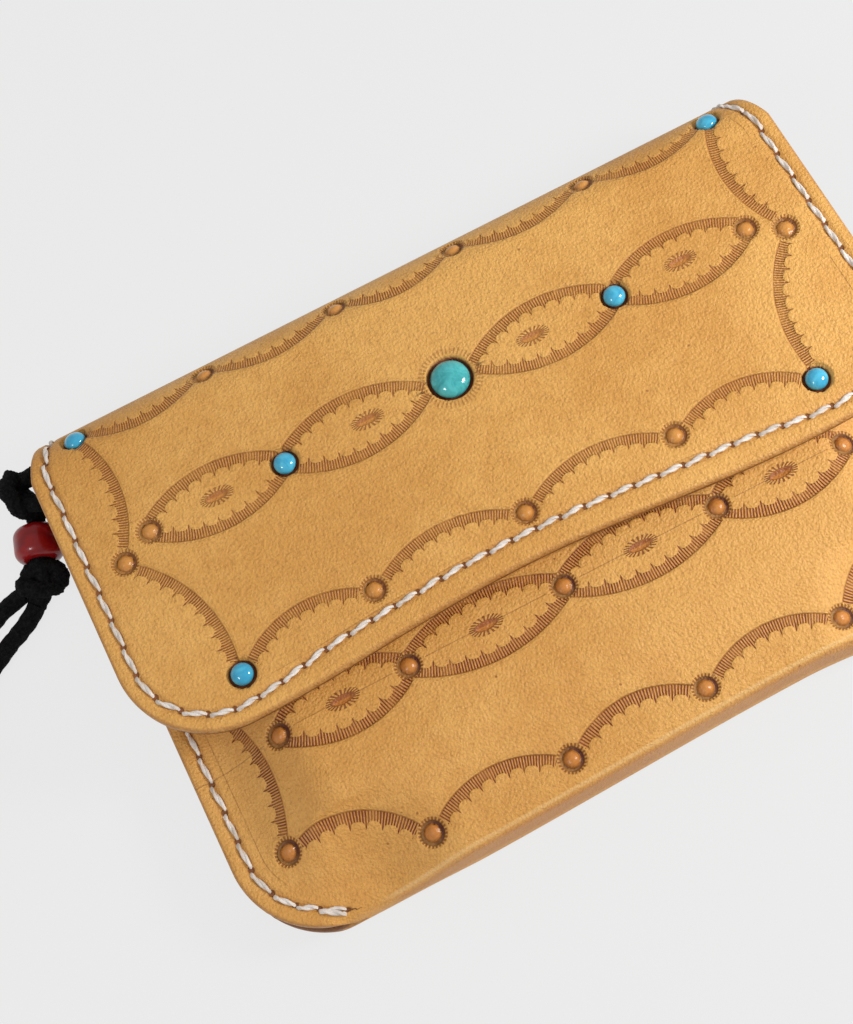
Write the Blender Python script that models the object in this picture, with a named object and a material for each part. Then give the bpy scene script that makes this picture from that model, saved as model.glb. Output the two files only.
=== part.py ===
# A laced leather trucker wallet, closed, lying on its back.
# Metres, +Z up. X runs along the wallet, +Y is the top fold, -Y the bottom fold.
# The origin is the middle of the footprint, on the surface the wallet lies on.

import math

import bmesh
import bpy
from mathutils import Vector
from mathutils.geometry import delaunay_2d_cdt

MM = 0.001
GAP = 0.3 * MM                      # clearance between pieces that touch

# Body: one folded piece of carved leather with sheets sewn into its sides
body_half = 71.6 * MM               # middle to a sewn side edge
bottom_y = -51.7 * MM               # outermost line of the bottom fold
corner_r = 17.0 * MM                # lower corners of the sewn edges
shell_t = 2.2 * MM                  # carved leather
divider_t = 1.2 * MM
card_t = 0.8 * MM
note_room = 4.2 * MM                # height of the note compartment
card_room = 4.2 * MM                # height of the front compartment
front_top = 33.0 * MM               # upper edge of the front panel
seam_flat = 4.0 * MM                # width of the edge pressed flat by the seam
crown_run = 13.0 * MM               # width over which the sides fill out
crown_step = 12.6 * MM              # from there to the next line where the sheets may bend
fold_pinch = 2.6 * MM               # depth of the bottom fold where the seams end
fold_full = 2.9 * MM                # and in the middle, where it is square with rounded corners
fold_drop = 3.2 * MM                # height of those corners
front_droop = 2.0 * MM              # the front slopes down to the fold by this
droop_start = -30.0 * MM
droop_run = 16.0 * MM
bottom_rise = 2.0 * MM              # the bottom fold drifts in by this towards the end without the lace
rise_start = -45.0 * MM
rise_run = 80.0 * MM
rise_end = 25.0 * MM                # and comes back to the sewn corner over this length
inner_bottom = -34.5 * MM           # lower edge of the sheets inside
inner_top = 40.0 * MM               # upper edge of the divider
inner_corner_r = 4.0 * MM
divider_lift_y = 30.0 * MM          # above this the divider is no longer sewn down
divider_lift_run = 7.0 * MM
lower_pocket_top = 6.0 * MM
upper_pocket_top = 20.0 * MM
inner_clear = 1.2 * MM              # sheets inside stand back from the outer edge

# Flap: carved leather with a lining, folded over from the back
flap_overhang = 3.4 * MM            # the flap reaches this far past the body's sewn sides
flap_t = 2.3 * MM
lining_t = 1.3 * MM
flap_rest = 0.5 * MM                # flap lining above the front panel
flap_corner_r = 18.0 * MM
flap_edge_y = -15.2 * MM            # mean line of the hand-cut lower edge
edge_wave = 1.5 * MM
edge_wave_length = 110.0 * MM
edge_wave_start = -5.0 * MM
edge_slant = -0.006
fold_taper = 2.6 * MM               # each side of the flap draws in by this towards the fold
flap_straight_top = 42.0 * MM
lip_angle = 30.0                    # where flap and fold strip meet, above horizontal
lining_inset = 0.6 * MM
lining_step = 3.0 * MM              # the lining stands back here, clear of the lace ring

# Tooling: places of the rings and stones, and the size of the tooled bands
row_y = 23.35 * MM                  # line of the big stone
end_ring_inset = 15.6 * MM          # from the flap's side edge, and so on down to low_stone_inset
row_step = 26.5 * MM                # from an end ring to the small stone beside it
top_row_q = 47.6 * MM
top_stone_inset = 10.1 * MM
top_ring_x = (12.1 * MM, 38.8 * MM)
side_ring_inset = 9.4 * MM
side_ring_y = 19.95 * MM
low_stone_inset = 19.5 * MM
low_stone_y = -8.0 * MM
low_ring_x = 29.1 * MM
low_ring_y = -5.45 * MM
front_row_y = -18.95 * MM
front_row_x = 29.8 * MM
front_end_inset = 16.8 * MM         # from the body's sewn edge, as the next two insets
front_low_x = (12.7 * MM, 38.9 * MM)
front_low_y = -44.9 * MM
front_corner_inset = 9.4 * MM
front_corner_y = -36.6 * MM
front_side_inset = 8.8 * MM
front_side_y = -9.0 * MM
carve_depth = 0.4 * MM
band_width = 1.3 * MM
cusp_height = 1.0 * MM
cusp_pitch = 4.8 * MM
band_clear = 3.1 * MM               # bands stop this far from a ring or a stone
ring_r = 2.3 * MM
ring_groove = 0.7 * MM
eye_half = 6.5 * MM
lens_half = (2.9 * MM, 1.0 * MM)
top_sag = 4.8 * MM
side_sag = 4.5 * MM
low_sag = 5.2 * MM
front_low_sag = 5.0 * MM
front_side_sag = 3.8 * MM

# Stones
small_stone_r = 1.95 * MM
big_stone_r = 3.7 * MM
stone_stand = 0.55 * MM             # dome above the leather
big_stone_stand = 1.3 * MM
stone_back = 0.72                   # a stone's flat back against its girth
stone_names = ["big_stone", "row_stone_left", "row_stone_right", "top_stone_left",
               "top_stone_right", "low_stone_left", "low_stone_right"]

# Saddle stitching
stitch_pitch = 5.0 * MM
thread_r = 0.5 * MM
stitch_inset = 3.1 * MM
thread_rise = 0.2 * MM              # thread centre above the leather along a stitch
thread_dip = 0.35 * MM              # and below it at a hole
back_sink = 0.05 * MM               # the back's thread lies this far under the leather's face
seam_top = 30.5 * MM
seam_sweep = 78.0                   # degrees of the lower corner that the seam follows
stitch_end = 1.6 * MM               # stitching stops this far from a cut end

# Snap under the lining, near the lower edge of the flap
snap_y = -3.0 * MM
snap_post_r = 1.5 * MM
snap_head_r = 2.6 * MM
snap_post_foot = 0.6 * MM           # how far the post reaches into the leather from its middle
snap_socket_r = 5.0 * MM

# Hinge line of the flap
hinge_clear = 1.3 * MM              # behind the fold's outermost line

# Eyelet, ring and lace at the left end
eyelet_inset = 4.4 * MM             # from the body's sewn edge
eyelet_y = 39.2 * MM
eyelet_r = 2.0 * MM
eyelet_barrel = 0.4 * MM
eyelet_flange_r = 3.0 * MM
eyelet_flange_t = 0.5 * MM
lace_ring_r = 5.6 * MM
lace_ring_wire = 0.8 * MM
lace_ring_z = 9.0 * MM
lace_ring_heading = (-0.77, 0.64)
lace_r = 1.7 * MM
bead_r = 4.6 * MM
bead_half = 3.4 * MM
bead_bore = 2.0 * MM
bead_mid = (-80.5 * MM, 38.2 * MM, 4.65 * MM)
bead_heading = (0.27, 0.963)
knot_mid = (-82.0 * MM, 31.0 * MM, 3.5 * MM)
tail_long = [(-87.0, 31.6, 2.2), (-89.6, 31.2, 1.8), (-92.8, 30.2, 1.75), (-96.6, 28.4, 1.75),
             (-100.4, 25.7, 1.75), (-103.9, 22.3, 1.75), (-107.1, 18.2, 1.75), (-109.8, 13.6, 1.75),
             (-112.2, 8.7, 1.75), (-114.5, 3.6, 1.75), (-117.0, -1.4, 1.75), (-119.9, -6.1, 1.75),
             (-123.4, -10.4, 1.75), (-127.5, -14.0, 1.75), (-132.1, -16.7, 1.75)]
tail_short = [(-85.6, 27.9, 2.1), (-87.2, 26.7, 1.8), (-89.2, 25.4, 1.75), (-92.3, 23.6, 1.75),
              (-95.6, 21.6, 1.75), (-98.8, 19.0, 1.75), (-101.5, 15.7, 1.75), (-103.6, 11.9, 1.75),
              (-105.1, 7.7, 1.75), (-106.2, 3.2, 1.75), (-107.3, -1.3, 1.75), (-108.8, -5.6, 1.75),
              (-111.0, -9.6, 1.75), (-114.0, -13.1, 1.75), (-117.8, -15.9, 1.75)]

# Levels of the stack, from the back upwards, at the seams and in the middle
stack_rooms = [(GAP, note_room), (GAP, GAP), (GAP, GAP), (GAP, card_room)]
stack_sheets = [divider_t, card_t, card_t, shell_t]


def stack_levels():
    levels = []
    low = high = shell_t
    for (tight, wide), sheet in zip(stack_rooms, stack_sheets):
        low += tight
        high += wide
        levels.append((low, high))
        low += sheet
        high += sheet
    return levels, low, high


flap_half = body_half + flap_overhang
fold_half = flap_half - fold_taper
end_ring_x = flap_half - end_ring_inset
row_stone_x = end_ring_x - row_step
top_stone_x = flap_half - top_stone_inset
side_ring_x = flap_half - side_ring_inset
low_stone_x = flap_half - low_stone_inset
front_end_x = body_half - front_end_inset
front_corner_x = body_half - front_corner_inset
front_side_x = body_half - front_side_inset
eyelet_xy = (eyelet_inset - body_half, eyelet_y)
levels, edge_top, front_z = stack_levels()
divider_level, lower_pocket_level, upper_pocket_level, front_level = levels
lining_z = front_z + flap_rest
flap_z = lining_z + lining_t + GAP          # underside of the carved flap
flap_top = flap_z + flap_t
fold_r = flap_top / 2                       # outer radius of the top fold
fold_y = -bottom_y - fold_r                 # centre line of the top fold
fold_z = fold_r
hinge_y = fold_y + fold_r + hinge_clear
hinge_z = fold_z
lip_q = fold_y + math.radians(90.0 - lip_angle) * fold_r
corner_mid = (body_half - corner_r, bottom_y + corner_r)
bend_reach = front_z / 2                    # depth of the leather that goes round the bottom
bend_start = bottom_y + bend_reach
bend_length = math.pi * bend_reach
back_lie = thread_r + back_sink             # depth of the back thread's centre
groove_depth = thread_dip + thread_r + GAP
back_groove_depth = back_lie + thread_r + GAP
groove_half = thread_r + GAP


def clear_scene():
    for thing in list(bpy.data.objects):
        bpy.data.objects.remove(thing, do_unlink=True)


def make_material(name, colour, roughness, metallic=0.0):
    material = bpy.data.materials.new(name)
    material.use_nodes = True
    shader = material.node_tree.nodes["Principled BSDF"]
    shader.inputs["Base Color"].default_value = (*colour, 1.0)
    shader.inputs["Roughness"].default_value = roughness
    shader.inputs["Metallic"].default_value = metallic
    return material


def add_object(name, bm, material, smooth=35.0):
    bmesh.ops.recalc_face_normals(bm, faces=bm.faces)
    mesh = bpy.data.meshes.new(name)
    bm.to_mesh(mesh)
    bm.free()
    mesh.shade_smooth()
    mesh.set_sharp_from_angle(angle=math.radians(smooth))
    mesh.materials.append(material)
    thing = bpy.data.objects.new(name, mesh)
    bpy.context.scene.collection.objects.link(thing)
    return thing


# Flat patterns

def disc(centre, radius, sides, turn=0.0):
    return [(centre[0] + radius * math.cos(turn + math.tau * i / sides),
             centre[1] + radius * math.sin(turn + math.tau * i / sides)) for i in range(sides)]


def arc(centre, radius, start, stop, steps):
    angles = [math.radians(start + (stop - start) * i / steps) for i in range(steps + 1)]
    return [(centre[0] + radius * math.cos(a), centre[1] + radius * math.sin(a)) for a in angles]


def crescent(a, b, sag, clear_a=band_clear, clear_b=band_clear):
    """Return a tooled band from a to b; it bulges by sag to the left of a-b, cusps inside."""
    a, b = Vector(a), Vector(b)
    chord = (b - a).length
    along = (b - a) / chord
    left = Vector((-along.y, along.x))
    radius = (chord * chord / 4 + sag * sag) / (2 * sag)
    centre = (a + b) / 2 + left * (sag - radius)
    half = math.asin(chord / 2 / radius)
    start = -half + clear_a / radius
    stop = half - clear_b / radius

    def at(angle, r):
        return centre + (along * math.sin(angle) + left * math.cos(angle)) * r

    cusps = max(2, round((stop - start) * radius / cusp_pitch))
    outer = [at(start + (stop - start) * i / 4, radius) for i in range(5)]
    inner = []
    for i in range(cusps):
        step = (stop - start) / cusps
        inner.append(at(stop - step * i, radius - band_width * 0.6))
        inner.append(at(stop - step * (i + 0.5), radius - band_width - cusp_height))
    inner.append(at(start, radius - band_width * 0.6))
    return [tuple(p) for p in outer + inner]


def lens(centre):
    across, up = lens_half
    flat = [(-across, 0), (-across * 0.5, -up * 0.8), (across * 0.5, -up * 0.8),
            (across, 0), (across * 0.5, up * 0.8), (-across * 0.5, up * 0.8)]
    return [(centre[0] + x, centre[1] + y) for x, y in flat]


def eye(a, b, clear_a, clear_b):
    """Return the two arcs and the lens of one eye between two points of a row."""
    middle = ((a[0] + b[0]) / 2, (a[1] + b[1]) / 2)
    return [(crescent(a, b, eye_half, clear_a, clear_b), carve_depth),
            (crescent(b, a, eye_half, clear_b, clear_a), carve_depth), (lens(middle), carve_depth)]


def ring(centre):
    return [(disc(centre, ring_r, 7), carve_depth), (disc(centre, ring_r - ring_groove, 5), 0.0)]


def strip(path, half):
    """Return the outline of a band of the given half width along an open path."""
    points = [Vector(p) for p in path]
    left, right = [], []
    for i, point in enumerate(points):
        before = points[max(i - 1, 0)]
        after = points[min(i + 1, len(points) - 1)]
        along = (after - before).normalized()
        side = Vector((-along.y, along.x)) * half
        left.append(tuple(point + side))
        right.append(tuple(point - side))
    return left + right[::-1]


# Sheets: a flat pattern with cuts and tooling, set out in place by a function

def turned_left(polygon):
    """Return the polygon with its points in counter-clockwise order."""
    area = sum(a[0] * b[1] - b[0] * a[1] for a, b in zip(polygon, polygon[1:] + polygon[:1]))
    return polygon if area > 0 else polygon[::-1]


def triangles(polygons, lines):
    """Return points and (triangle, polygon numbers) of a flat layout, in millimetres."""
    points, edges, faces = [], [], []
    for polygon in map(turned_left, polygons):
        first = len(points)
        points += [Vector((x / MM, y / MM)) for x, y in polygon]
        faces.append(list(range(first, len(points))))
    for start, stop in lines:
        first = len(points)
        points += [Vector((start[0] / MM, start[1] / MM)), Vector((stop[0] / MM, stop[1] / MM))]
        edges.append((first, first + 1))
    out = delaunay_2d_cdt(points, edges, faces, 1, 1e-4, True)
    kept = [(face, owners) for face, owners in zip(out[2], out[5]) if 0 in owners]
    return [(p.x, p.y) for p in out[0]], kept


def sheet(outline, thickness, place, cuts=(), holes=(), grid_x=(), grid_y=(), flat_below=None):
    """Return a closed sheet. place(x, y, depth) gives a point at a depth below the face.

    The grid lines are where it may bend; those at grid_x stop at flat_below.
    """
    low_x = min(p[0] for p in outline) - 1 * MM
    high_x = max(p[0] for p in outline) + 1 * MM
    low_y = min(p[1] for p in outline) - 1 * MM if flat_below is None else flat_below
    high_y = max(p[1] for p in outline) + 1 * MM
    lines = [((x, low_y), (x, high_y)) for x in grid_x] + [((low_x, y), (high_x, y)) for y in grid_y]
    bm = bmesh.new()
    known = {}

    def vertex(x, y, depth):
        key = (round(x, 3), round(y, 3), round(depth / MM, 3))
        if key not in known:
            known[key] = bm.verts.new(place(x * MM, y * MM, depth))
        return known[key]

    walls = {}
    polygons = [outline] + list(holes) + [polygon for polygon, depth in cuts]
    depths = [depth for polygon, depth in cuts]
    points, faces = triangles(polygons, lines)
    for face, owners in faces:
        if any(1 <= k <= len(holes) for k in owners):
            continue
        tooled = [k - 1 - len(holes) for k in owners if k > len(holes)]
        depth = depths[max(tooled)] if tooled else 0.0
        bm.faces.new([vertex(*points[i], depth) for i in face])
        for i in range(3):
            walls.setdefault(frozenset((face[i], face[i - 1])), []).append(depth)
    for edge, sides in walls.items():
        a, b = [points[i] for i in edge]
        low = sides[1] if len(sides) == 2 else thickness
        if abs(low - sides[0]) > 1e-9:
            bm.faces.new([vertex(*a, sides[0]), vertex(*b, sides[0]), vertex(*b, low), vertex(*a, low)])
    points, faces = triangles([outline] + list(holes), lines)
    for face, owners in faces:
        if not any(k >= 1 for k in owners):
            bm.faces.new([vertex(*points[i], thickness) for i in face])
    return bm


# The crowned body

def smooth(t):
    t = min(max(t, 0.0), 1.0)
    return t * t * (3 - 2 * t)


def seam_distance(x, y):
    """Return the distance in plan from a sewn side edge or sewn corner."""
    x = abs(x)
    across, down = x - corner_mid[0], corner_mid[1] - y
    if down <= 0:
        return body_half - x
    if across >= 0:
        return corner_r - math.hypot(across, down)
    return min(math.hypot(across, y - bottom_y), math.hypot(body_half - x, down))


def crown(x, y):
    return smooth((seam_distance(x, y) - seam_flat) / crown_run)


def body_top(x, y):
    droop = front_droop * smooth((droop_start - y) / droop_run)
    return edge_top + (front_z - droop - edge_top) * crown(x, y)


def place_shell(x, q, depth):
    """Set out the folded outer leather; q runs down the front, round the fold and up the back."""
    if q >= bend_start:
        return Vector((x, q, body_top(x, q) - depth))
    if q <= bend_start - bend_length:
        return Vector((x, bend_start + (bend_start - bend_length - q), depth))
    t = (bend_start - q) / bend_length
    corner_x = min(abs(x), corner_mid[0])
    fill = crown(corner_x, bottom_y)
    rise = bottom_rise * smooth((x - rise_start) / rise_run) * smooth((corner_mid[0] - x) / rise_end)
    low = bottom_y + rise
    reach = fold_pinch + (fold_full - fold_pinch) * fill
    half = body_top(corner_x, low + reach) / 2
    drop = half + (fold_drop - half) * fill
    straight = bend_reach - reach - rise
    corner = math.pi * (reach + drop) / 4
    wall = 2 * (half - drop)
    run = t * 2 * (straight + corner + wall / 2)
    past = run - straight
    if past < 0:
        bent = Vector((x, bend_start - run, body_top(x, bend_start - run) - depth))
    elif past < corner:
        angle = math.pi / 2 * past / corner
        bent = Vector((x, low + reach - (reach - depth) * math.sin(angle),
                       2 * half - drop + (drop - depth) * math.cos(angle)))
    elif past < corner + wall:
        bent = Vector((x, low + depth, 2 * half - drop - (past - corner)))
    elif past < 2 * corner + wall:
        angle = math.pi / 2 * (past - corner - wall) / corner
        bent = Vector((x, low + reach - (reach - depth) * math.cos(angle),
                       drop - (drop - depth) * math.sin(angle)))
    else:
        bent = Vector((x, low + reach + past - 2 * corner - wall, depth))
    if abs(x) <= corner_mid[0]:
        return bent
    flat_y = bottom_y + bend_reach * abs(1 - 2 * t)
    flat_z = body_top(x, flat_y) - depth if t < 0.5 else depth
    return bent.lerp(Vector((x, flat_y, flat_z)), smooth((abs(x) - corner_mid[0]) / (0.4 * corner_r)))


def bend_q(y):
    """Return the pattern position of a point of the sewn corner that lies past the bend line."""
    if y >= bend_start:
        return y
    return bend_start - (bend_start - y) / (2 * bend_reach) * bend_length


def mirror_q(q):
    return 2 * bend_start - bend_length - q


def shell_outline():
    corner = [(x, bend_q(y)) for x, y in arc(corner_mid, corner_r, 0, -90, 7)]
    right = [(body_half, front_top)] + corner
    right += [(x, mirror_q(q)) for x, q in corner[-2::-1]] + [(body_half, mirror_q(fold_y - GAP))]
    return right + [(-x, q) for x, q in right[::-1]]


def seam_path(side, inset):
    path = [(body_half - inset, seam_top), (body_half - inset, seam_top * 0.4)]
    path += arc(corner_mid, corner_r - inset, 0, -seam_sweep, 6)
    return [(side * x, y) for x, y in path]


def front_cuts():
    cuts = []
    row = [-front_end_x, -front_row_x, 0.0, front_row_x, front_end_x]
    for x in row:
        cuts += ring((x, front_row_y))
    for a, b in zip(row, row[1:]):
        cuts += eye((a, front_row_y), (b, front_row_y), band_clear, band_clear)
    low = [(-front_corner_x, front_corner_y)]
    low += [(x, front_low_y) for x in (-front_low_x[1], -front_low_x[0], *front_low_x)]
    low += [(front_corner_x, front_corner_y)]
    for point in low:
        cuts += ring((point[0], bend_q(point[1])))
    for a, b in zip(low, low[1:]):
        cuts.append((crescent((a[0], bend_q(a[1])), (b[0], bend_q(b[1])), front_low_sag), carve_depth))
    for side in (-1, 1):
        top = (side * front_side_x, front_side_y)
        foot = (side * front_corner_x, front_corner_y)
        ends = (foot, top) if side > 0 else (top, foot)
        cuts.append((crescent(*ends, front_side_sag), carve_depth))
    return cuts


def build_shell(material):
    cuts = front_cuts()
    for side in (-1, 1):
        path = [(x, bend_q(y)) for x, y in seam_path(side, stitch_inset)]
        cuts.append((strip(path, groove_half), groove_depth))
        back = [(x, mirror_q(bend_q(y))) for x, y in seam_path(side, stitch_inset)]
        cuts.append((strip(back, groove_half), back_groove_depth))
    holes = [disc((0, snap_y), snap_post_r + GAP, 10)]
    grid_x = crown_lines() + [rise_start + rise_run * share for share in (0.2, 0.4, 0.6, 0.8)]
    grid_x.append(corner_mid[0] - 0.3 * rise_end)
    grid_y = [corner_mid[1]]
    grid_y += [bend_start - bend_length * share for share in (0.0, 0.15, 0.25, 0.35, 0.5, 0.65, 0.75, 0.85, 1.0)]
    bm = sheet(shell_outline(), shell_t, place_shell, cuts, holes, grid_x, grid_y, grid_y[-1])
    return add_object("outer_shell", bm, material)


def crown_lines():
    steps = [body_half - seam_flat - crown_run * share for share in (0.0, 0.3, 0.65, 1.0)]
    steps.append(steps[-1] - crown_step)
    return [side * x for x in steps for side in (-1, 1)]


def inner_outline(top):
    half = body_half - inner_clear
    middle = (half - inner_corner_r, inner_bottom + inner_corner_r)
    right = [(half, top)] + arc(middle, inner_corner_r, 0, -90, 4)
    return right + [(-x, y) for x, y in right[::-1]]


def inner_sheet(name, level, thickness, top, material, lift=False, holes=()):
    def place(x, y, depth):
        fill = crown(x, y)
        if lift:
            fill = max(fill, smooth((y - divider_lift_y) / divider_lift_run))
        return Vector((x, y, level[0] + (level[1] - level[0]) * fill + thickness - depth))

    grid_y = ()
    if lift:
        grid_y = [divider_lift_y + divider_lift_run * share for share in (0.0, 0.5, 1.0)]
    bm = sheet(inner_outline(top), thickness, place, (), holes, crown_lines(), grid_y)
    return add_object(name, bm, material)


# The flap

def edge_line(x):
    wave = math.cos(math.tau * (x - edge_wave_start) / edge_wave_length)
    return flap_edge_y + edge_wave * wave + edge_slant * x


def flap_path(inset, top_q):
    """Return the flap's outline at an inset, from its top right down, across and up the left."""
    middle_x = flap_half - flap_corner_r
    right_y = edge_line(middle_x) + flap_corner_r
    left_y = edge_line(-middle_x) + flap_corner_r
    shrink = (flap_half - fold_half) / (lip_q - flap_straight_top)
    top_x = flap_half - max(top_q - flap_straight_top, 0.0) * shrink
    path = [(top_x - inset, top_q), (flap_half - inset, flap_straight_top)]
    path += arc((middle_x, right_y), flap_corner_r - inset, 0, -90, 6)
    path += [(middle_x * (1 - i / 5.5), edge_line(middle_x * (1 - i / 5.5)) + inset) for i in range(1, 11)]
    path += arc((-middle_x, left_y), flap_corner_r - inset, -90, -180, 6)
    path += [(-flap_half + inset, flap_straight_top), (-top_x + inset, top_q)]
    return path


def place_flap(base):
    """Return the placer of a flap layer whose outer face lies base below the flap's top."""
    def place(x, q, depth):
        depth += base
        if q <= fold_y:
            return Vector((x, q, flap_top - depth))
        angle = math.pi / 2 - (q - fold_y) / fold_r
        r = fold_r - depth
        return Vector((x, fold_y + r * math.cos(angle), fold_z + r * math.sin(angle)))
    return place


def flap_stones():
    places = ((row_stone_x, row_y), (top_stone_x, top_row_q), (low_stone_x, low_stone_y))
    small = [(side * x, y) for x, y in places for side in (-1, 1)]
    return [((0.0, row_y), big_stone_r)] + [(point, small_stone_r) for point in small]


def flap_cuts():
    cuts = []
    row = [-end_ring_x, -row_stone_x, 0.0, row_stone_x, end_ring_x]
    top = [-top_stone_x, -top_ring_x[1], -top_ring_x[0], *top_ring_x, top_stone_x]
    low = [(-low_stone_x, low_stone_y), (-low_ring_x, low_ring_y), (0.0, low_ring_y),
           (low_ring_x, low_ring_y), (low_stone_x, low_stone_y)]
    for x in (row[0], row[-1]):
        cuts += ring((x, row_y))
    for x in top[1:-1]:
        cuts += ring((x, top_row_q))
    for point in low[1:-1]:
        cuts += ring(point)
    for a, b in zip(row, row[1:]):
        cuts += eye((a, row_y), (b, row_y), clear_of(a), clear_of(b))
    for a, b in zip(top, top[1:]):
        cuts.append((crescent((b, top_row_q), (a, top_row_q), top_sag), carve_depth))
    for a, b in zip(low, low[1:]):
        cuts.append((crescent(a, b, low_sag), carve_depth))
    for side in (-1, 1):
        cuts += ring((side * side_ring_x, side_ring_y))
        posts = [(side * top_stone_x, top_row_q), (side * side_ring_x, side_ring_y),
                 (side * low_stone_x, low_stone_y)]
        for a, b in zip(posts, posts[1:]):
            ends = (b, a) if side > 0 else (a, b)
            cuts.append((crescent(*ends, side_sag), carve_depth))
    cuts.append((strip(flap_path(stitch_inset, lip_q - stitch_end), groove_half), groove_depth))
    return cuts


def clear_of(x):
    return band_clear + (big_stone_r - small_stone_r if x == 0.0 else 0.0)


def build_flap(leather, lining):
    bend = [fold_y + (lip_q - fold_y) * i / 4 for i in range(4)]
    holes = [disc(point, radius + GAP, 8) for point, radius in flap_stones()]
    bm = sheet(flap_path(0.0, lip_q - GAP / 2), flap_t, place_flap(0.0), flap_cuts(), holes, (), bend)
    add_object("flap_outer", bm, leather)
    socket = [disc((0, snap_y), snap_socket_r + GAP, 12)]
    outline = flap_path(lining_inset, lip_q - GAP / 2)
    bm = sheet(outline, lining_t, place_flap(flap_t + GAP), (), socket, (), bend)
    add_object("flap_lining", bm, lining)


def build_fold(name, outer_r, thickness, half_low, half_high, material):
    """Bend one layer of the top fold: an arc from the back panel up to the flap."""
    bm = bmesh.new()
    steps = 8
    loops = []
    tight = GAP / outer_r
    for i in range(steps + 1):
        angle = -math.pi / 2 + tight + (math.radians(90 + lip_angle) - 2 * tight) * i / steps
        half = half_low + (half_high - half_low) * i / steps
        loop = [bm.verts.new((x, fold_y + r * math.cos(angle), fold_z + r * math.sin(angle)))
                for x, r in ((-half, outer_r), (half, outer_r), (half, outer_r - thickness),
                             (-half, outer_r - thickness))]
        loops.append(loop)
    for a, b in zip(loops, loops[1:]):
        for i in range(4):
            bm.faces.new([a[i - 1], a[i], b[i], b[i - 1]])
    bm.faces.new(loops[0])
    bm.faces.new(loops[-1][::-1])
    return add_object(name, bm, material)


# Round pieces

def turned(profile, sides, bore=False):
    """Return a solid turned about Z from (radius, height) points; radius 0 closes an end."""
    bm = bmesh.new()
    rows = []
    for radius, height in profile:
        if radius == 0.0:
            rows.append([bm.verts.new((0, 0, height))] * sides)
        else:
            rows.append([bm.verts.new((radius * math.cos(math.tau * i / sides),
                                       radius * math.sin(math.tau * i / sides), height))
                         for i in range(sides)])
    pairs = list(zip(rows, rows[1:]))
    if bore:
        pairs.append((rows[-1], rows[0]))
    for low, high in pairs:
        for i in range(sides):
            corners = []
            for vertex in (low[i - 1], low[i], high[i], high[i - 1]):
                if vertex not in corners:
                    corners.append(vertex)
            if len(corners) > 2:
                bm.faces.new(corners)
    return bm


def put(bm, origin, normal):
    turn = Vector(normal).to_track_quat("Z", "Y").to_matrix().to_4x4()
    turn.translation = Vector(origin)
    bmesh.ops.transform(bm, matrix=turn, verts=bm.verts)


def build_stones(blue, green):
    place = place_flap(0.0)
    for name, (point, radius) in zip(stone_names, flap_stones()):
        big = radius == big_stone_r
        stand = big_stone_stand if big else stone_stand
        depth = flap_t
        profile = [(0.0, 0.0), (radius * stone_back, 0.0), (radius, depth),
                   (radius * math.cos(0.7), depth + stand * math.sin(0.7)), (0.0, depth + stand)]
        bm = turned(profile, 16 if big else 8)
        foot = place(*point, depth)
        put(bm, foot, place(*point, 0.0) - foot)
        add_object(name, bm, green if big else blue, 60.0)


def build_snap(metal):
    under = front_level[1] + shell_t / 2 - snap_post_foot
    head = front_z + GAP
    profile = [(0.0, under), (snap_post_r, under), (snap_post_r, head), (snap_head_r, head),
               (snap_head_r, head + 0.5 * MM), (snap_post_r, head + 1.0 * MM), (0.0, head + 1.0 * MM)]
    bm = turned(profile, 12)
    put(bm, (0, snap_y, 0), (0, 0, 1))
    add_object("snap_stud", bm, metal)
    low, high = lining_z, flap_z - GAP
    inner = snap_head_r + 2 * GAP
    bm = turned([(inner, low), (snap_socket_r, low), (snap_socket_r, high), (inner, high)], 14, True)
    put(bm, (0, snap_y, 0), (0, 0, 1))
    add_object("snap_socket", bm, metal)


# Stitching: one thread for each run, lying in its groove and dipping at every hole

def thread(name, path, place, lie, dip, material):
    """Lay a thread along a path; lie and dip are its centre's depths on a stitch and at a hole."""
    sides = 5
    points = [Vector(p) for p in path]
    marks = [0.0]
    for a, b in zip(points, points[1:]):
        marks.append(marks[-1] + (b - a).length)
    start, stop = 2 * GAP, marks[-1] - 2 * GAP
    count = round((stop - start) / stitch_pitch)
    pitch = (stop - start) / count

    def at(s):
        k = max(i for i, mark in enumerate(marks[:-1]) if mark <= s)
        return points[k].lerp(points[k + 1], (s - marks[k]) / (marks[k + 1] - marks[k]))

    shape = ((0.0, dip), (0.5, lie))
    stations = [(start + pitch * (i + share), depth) for i in range(count) for share, depth in shape]
    stations.append((stop, dip))
    bm = bmesh.new()
    rings = []
    for s, depth in stations:
        ahead, behind = at(min(s + 0.5 * MM, stop)), at(max(s - 0.5 * MM, start))
        middle = at(s)
        centre = place(middle.x, middle.y, depth)
        along = (place(ahead.x, ahead.y, depth) - place(behind.x, behind.y, depth)).normalized()
        up = (place(middle.x, middle.y, 0.0) - place(middle.x, middle.y, 1 * MM)).normalized()
        side = along.cross(up).normalized()
        rings.append([bm.verts.new(centre + (side * math.cos(a) + up * math.sin(a)) * thread_r)
                      for a in (math.pi / 2 + math.tau * i / sides for i in range(sides))])
    for a, b in zip(rings, rings[1:]):
        for i in range(sides):
            bm.faces.new([a[i - 1], a[i], b[i], b[i - 1]])
    bm.faces.new(rings[0])
    bm.faces.new(rings[-1][::-1])
    return add_object(name, bm, material, 60.0)


def build_stitching(material):
    path = flap_path(stitch_inset, lip_q - stitch_end)
    thread("flap_stitching", path, place_flap(0.0), -thread_rise, thread_dip, material)
    for side, word in ((-1, "left"), (1, "right")):
        front = [(x, bend_q(y)) for x, y in seam_path(side, stitch_inset)]
        thread(word + "_seam_stitching", front, place_shell, -thread_rise, thread_dip, material)
        back = [(x, mirror_q(q)) for x, q in front]
        thread(word + "_seam_back_stitching", back, place_shell, back_lie, back_lie, material)


# Eyelet, ring, bead and lace

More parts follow.
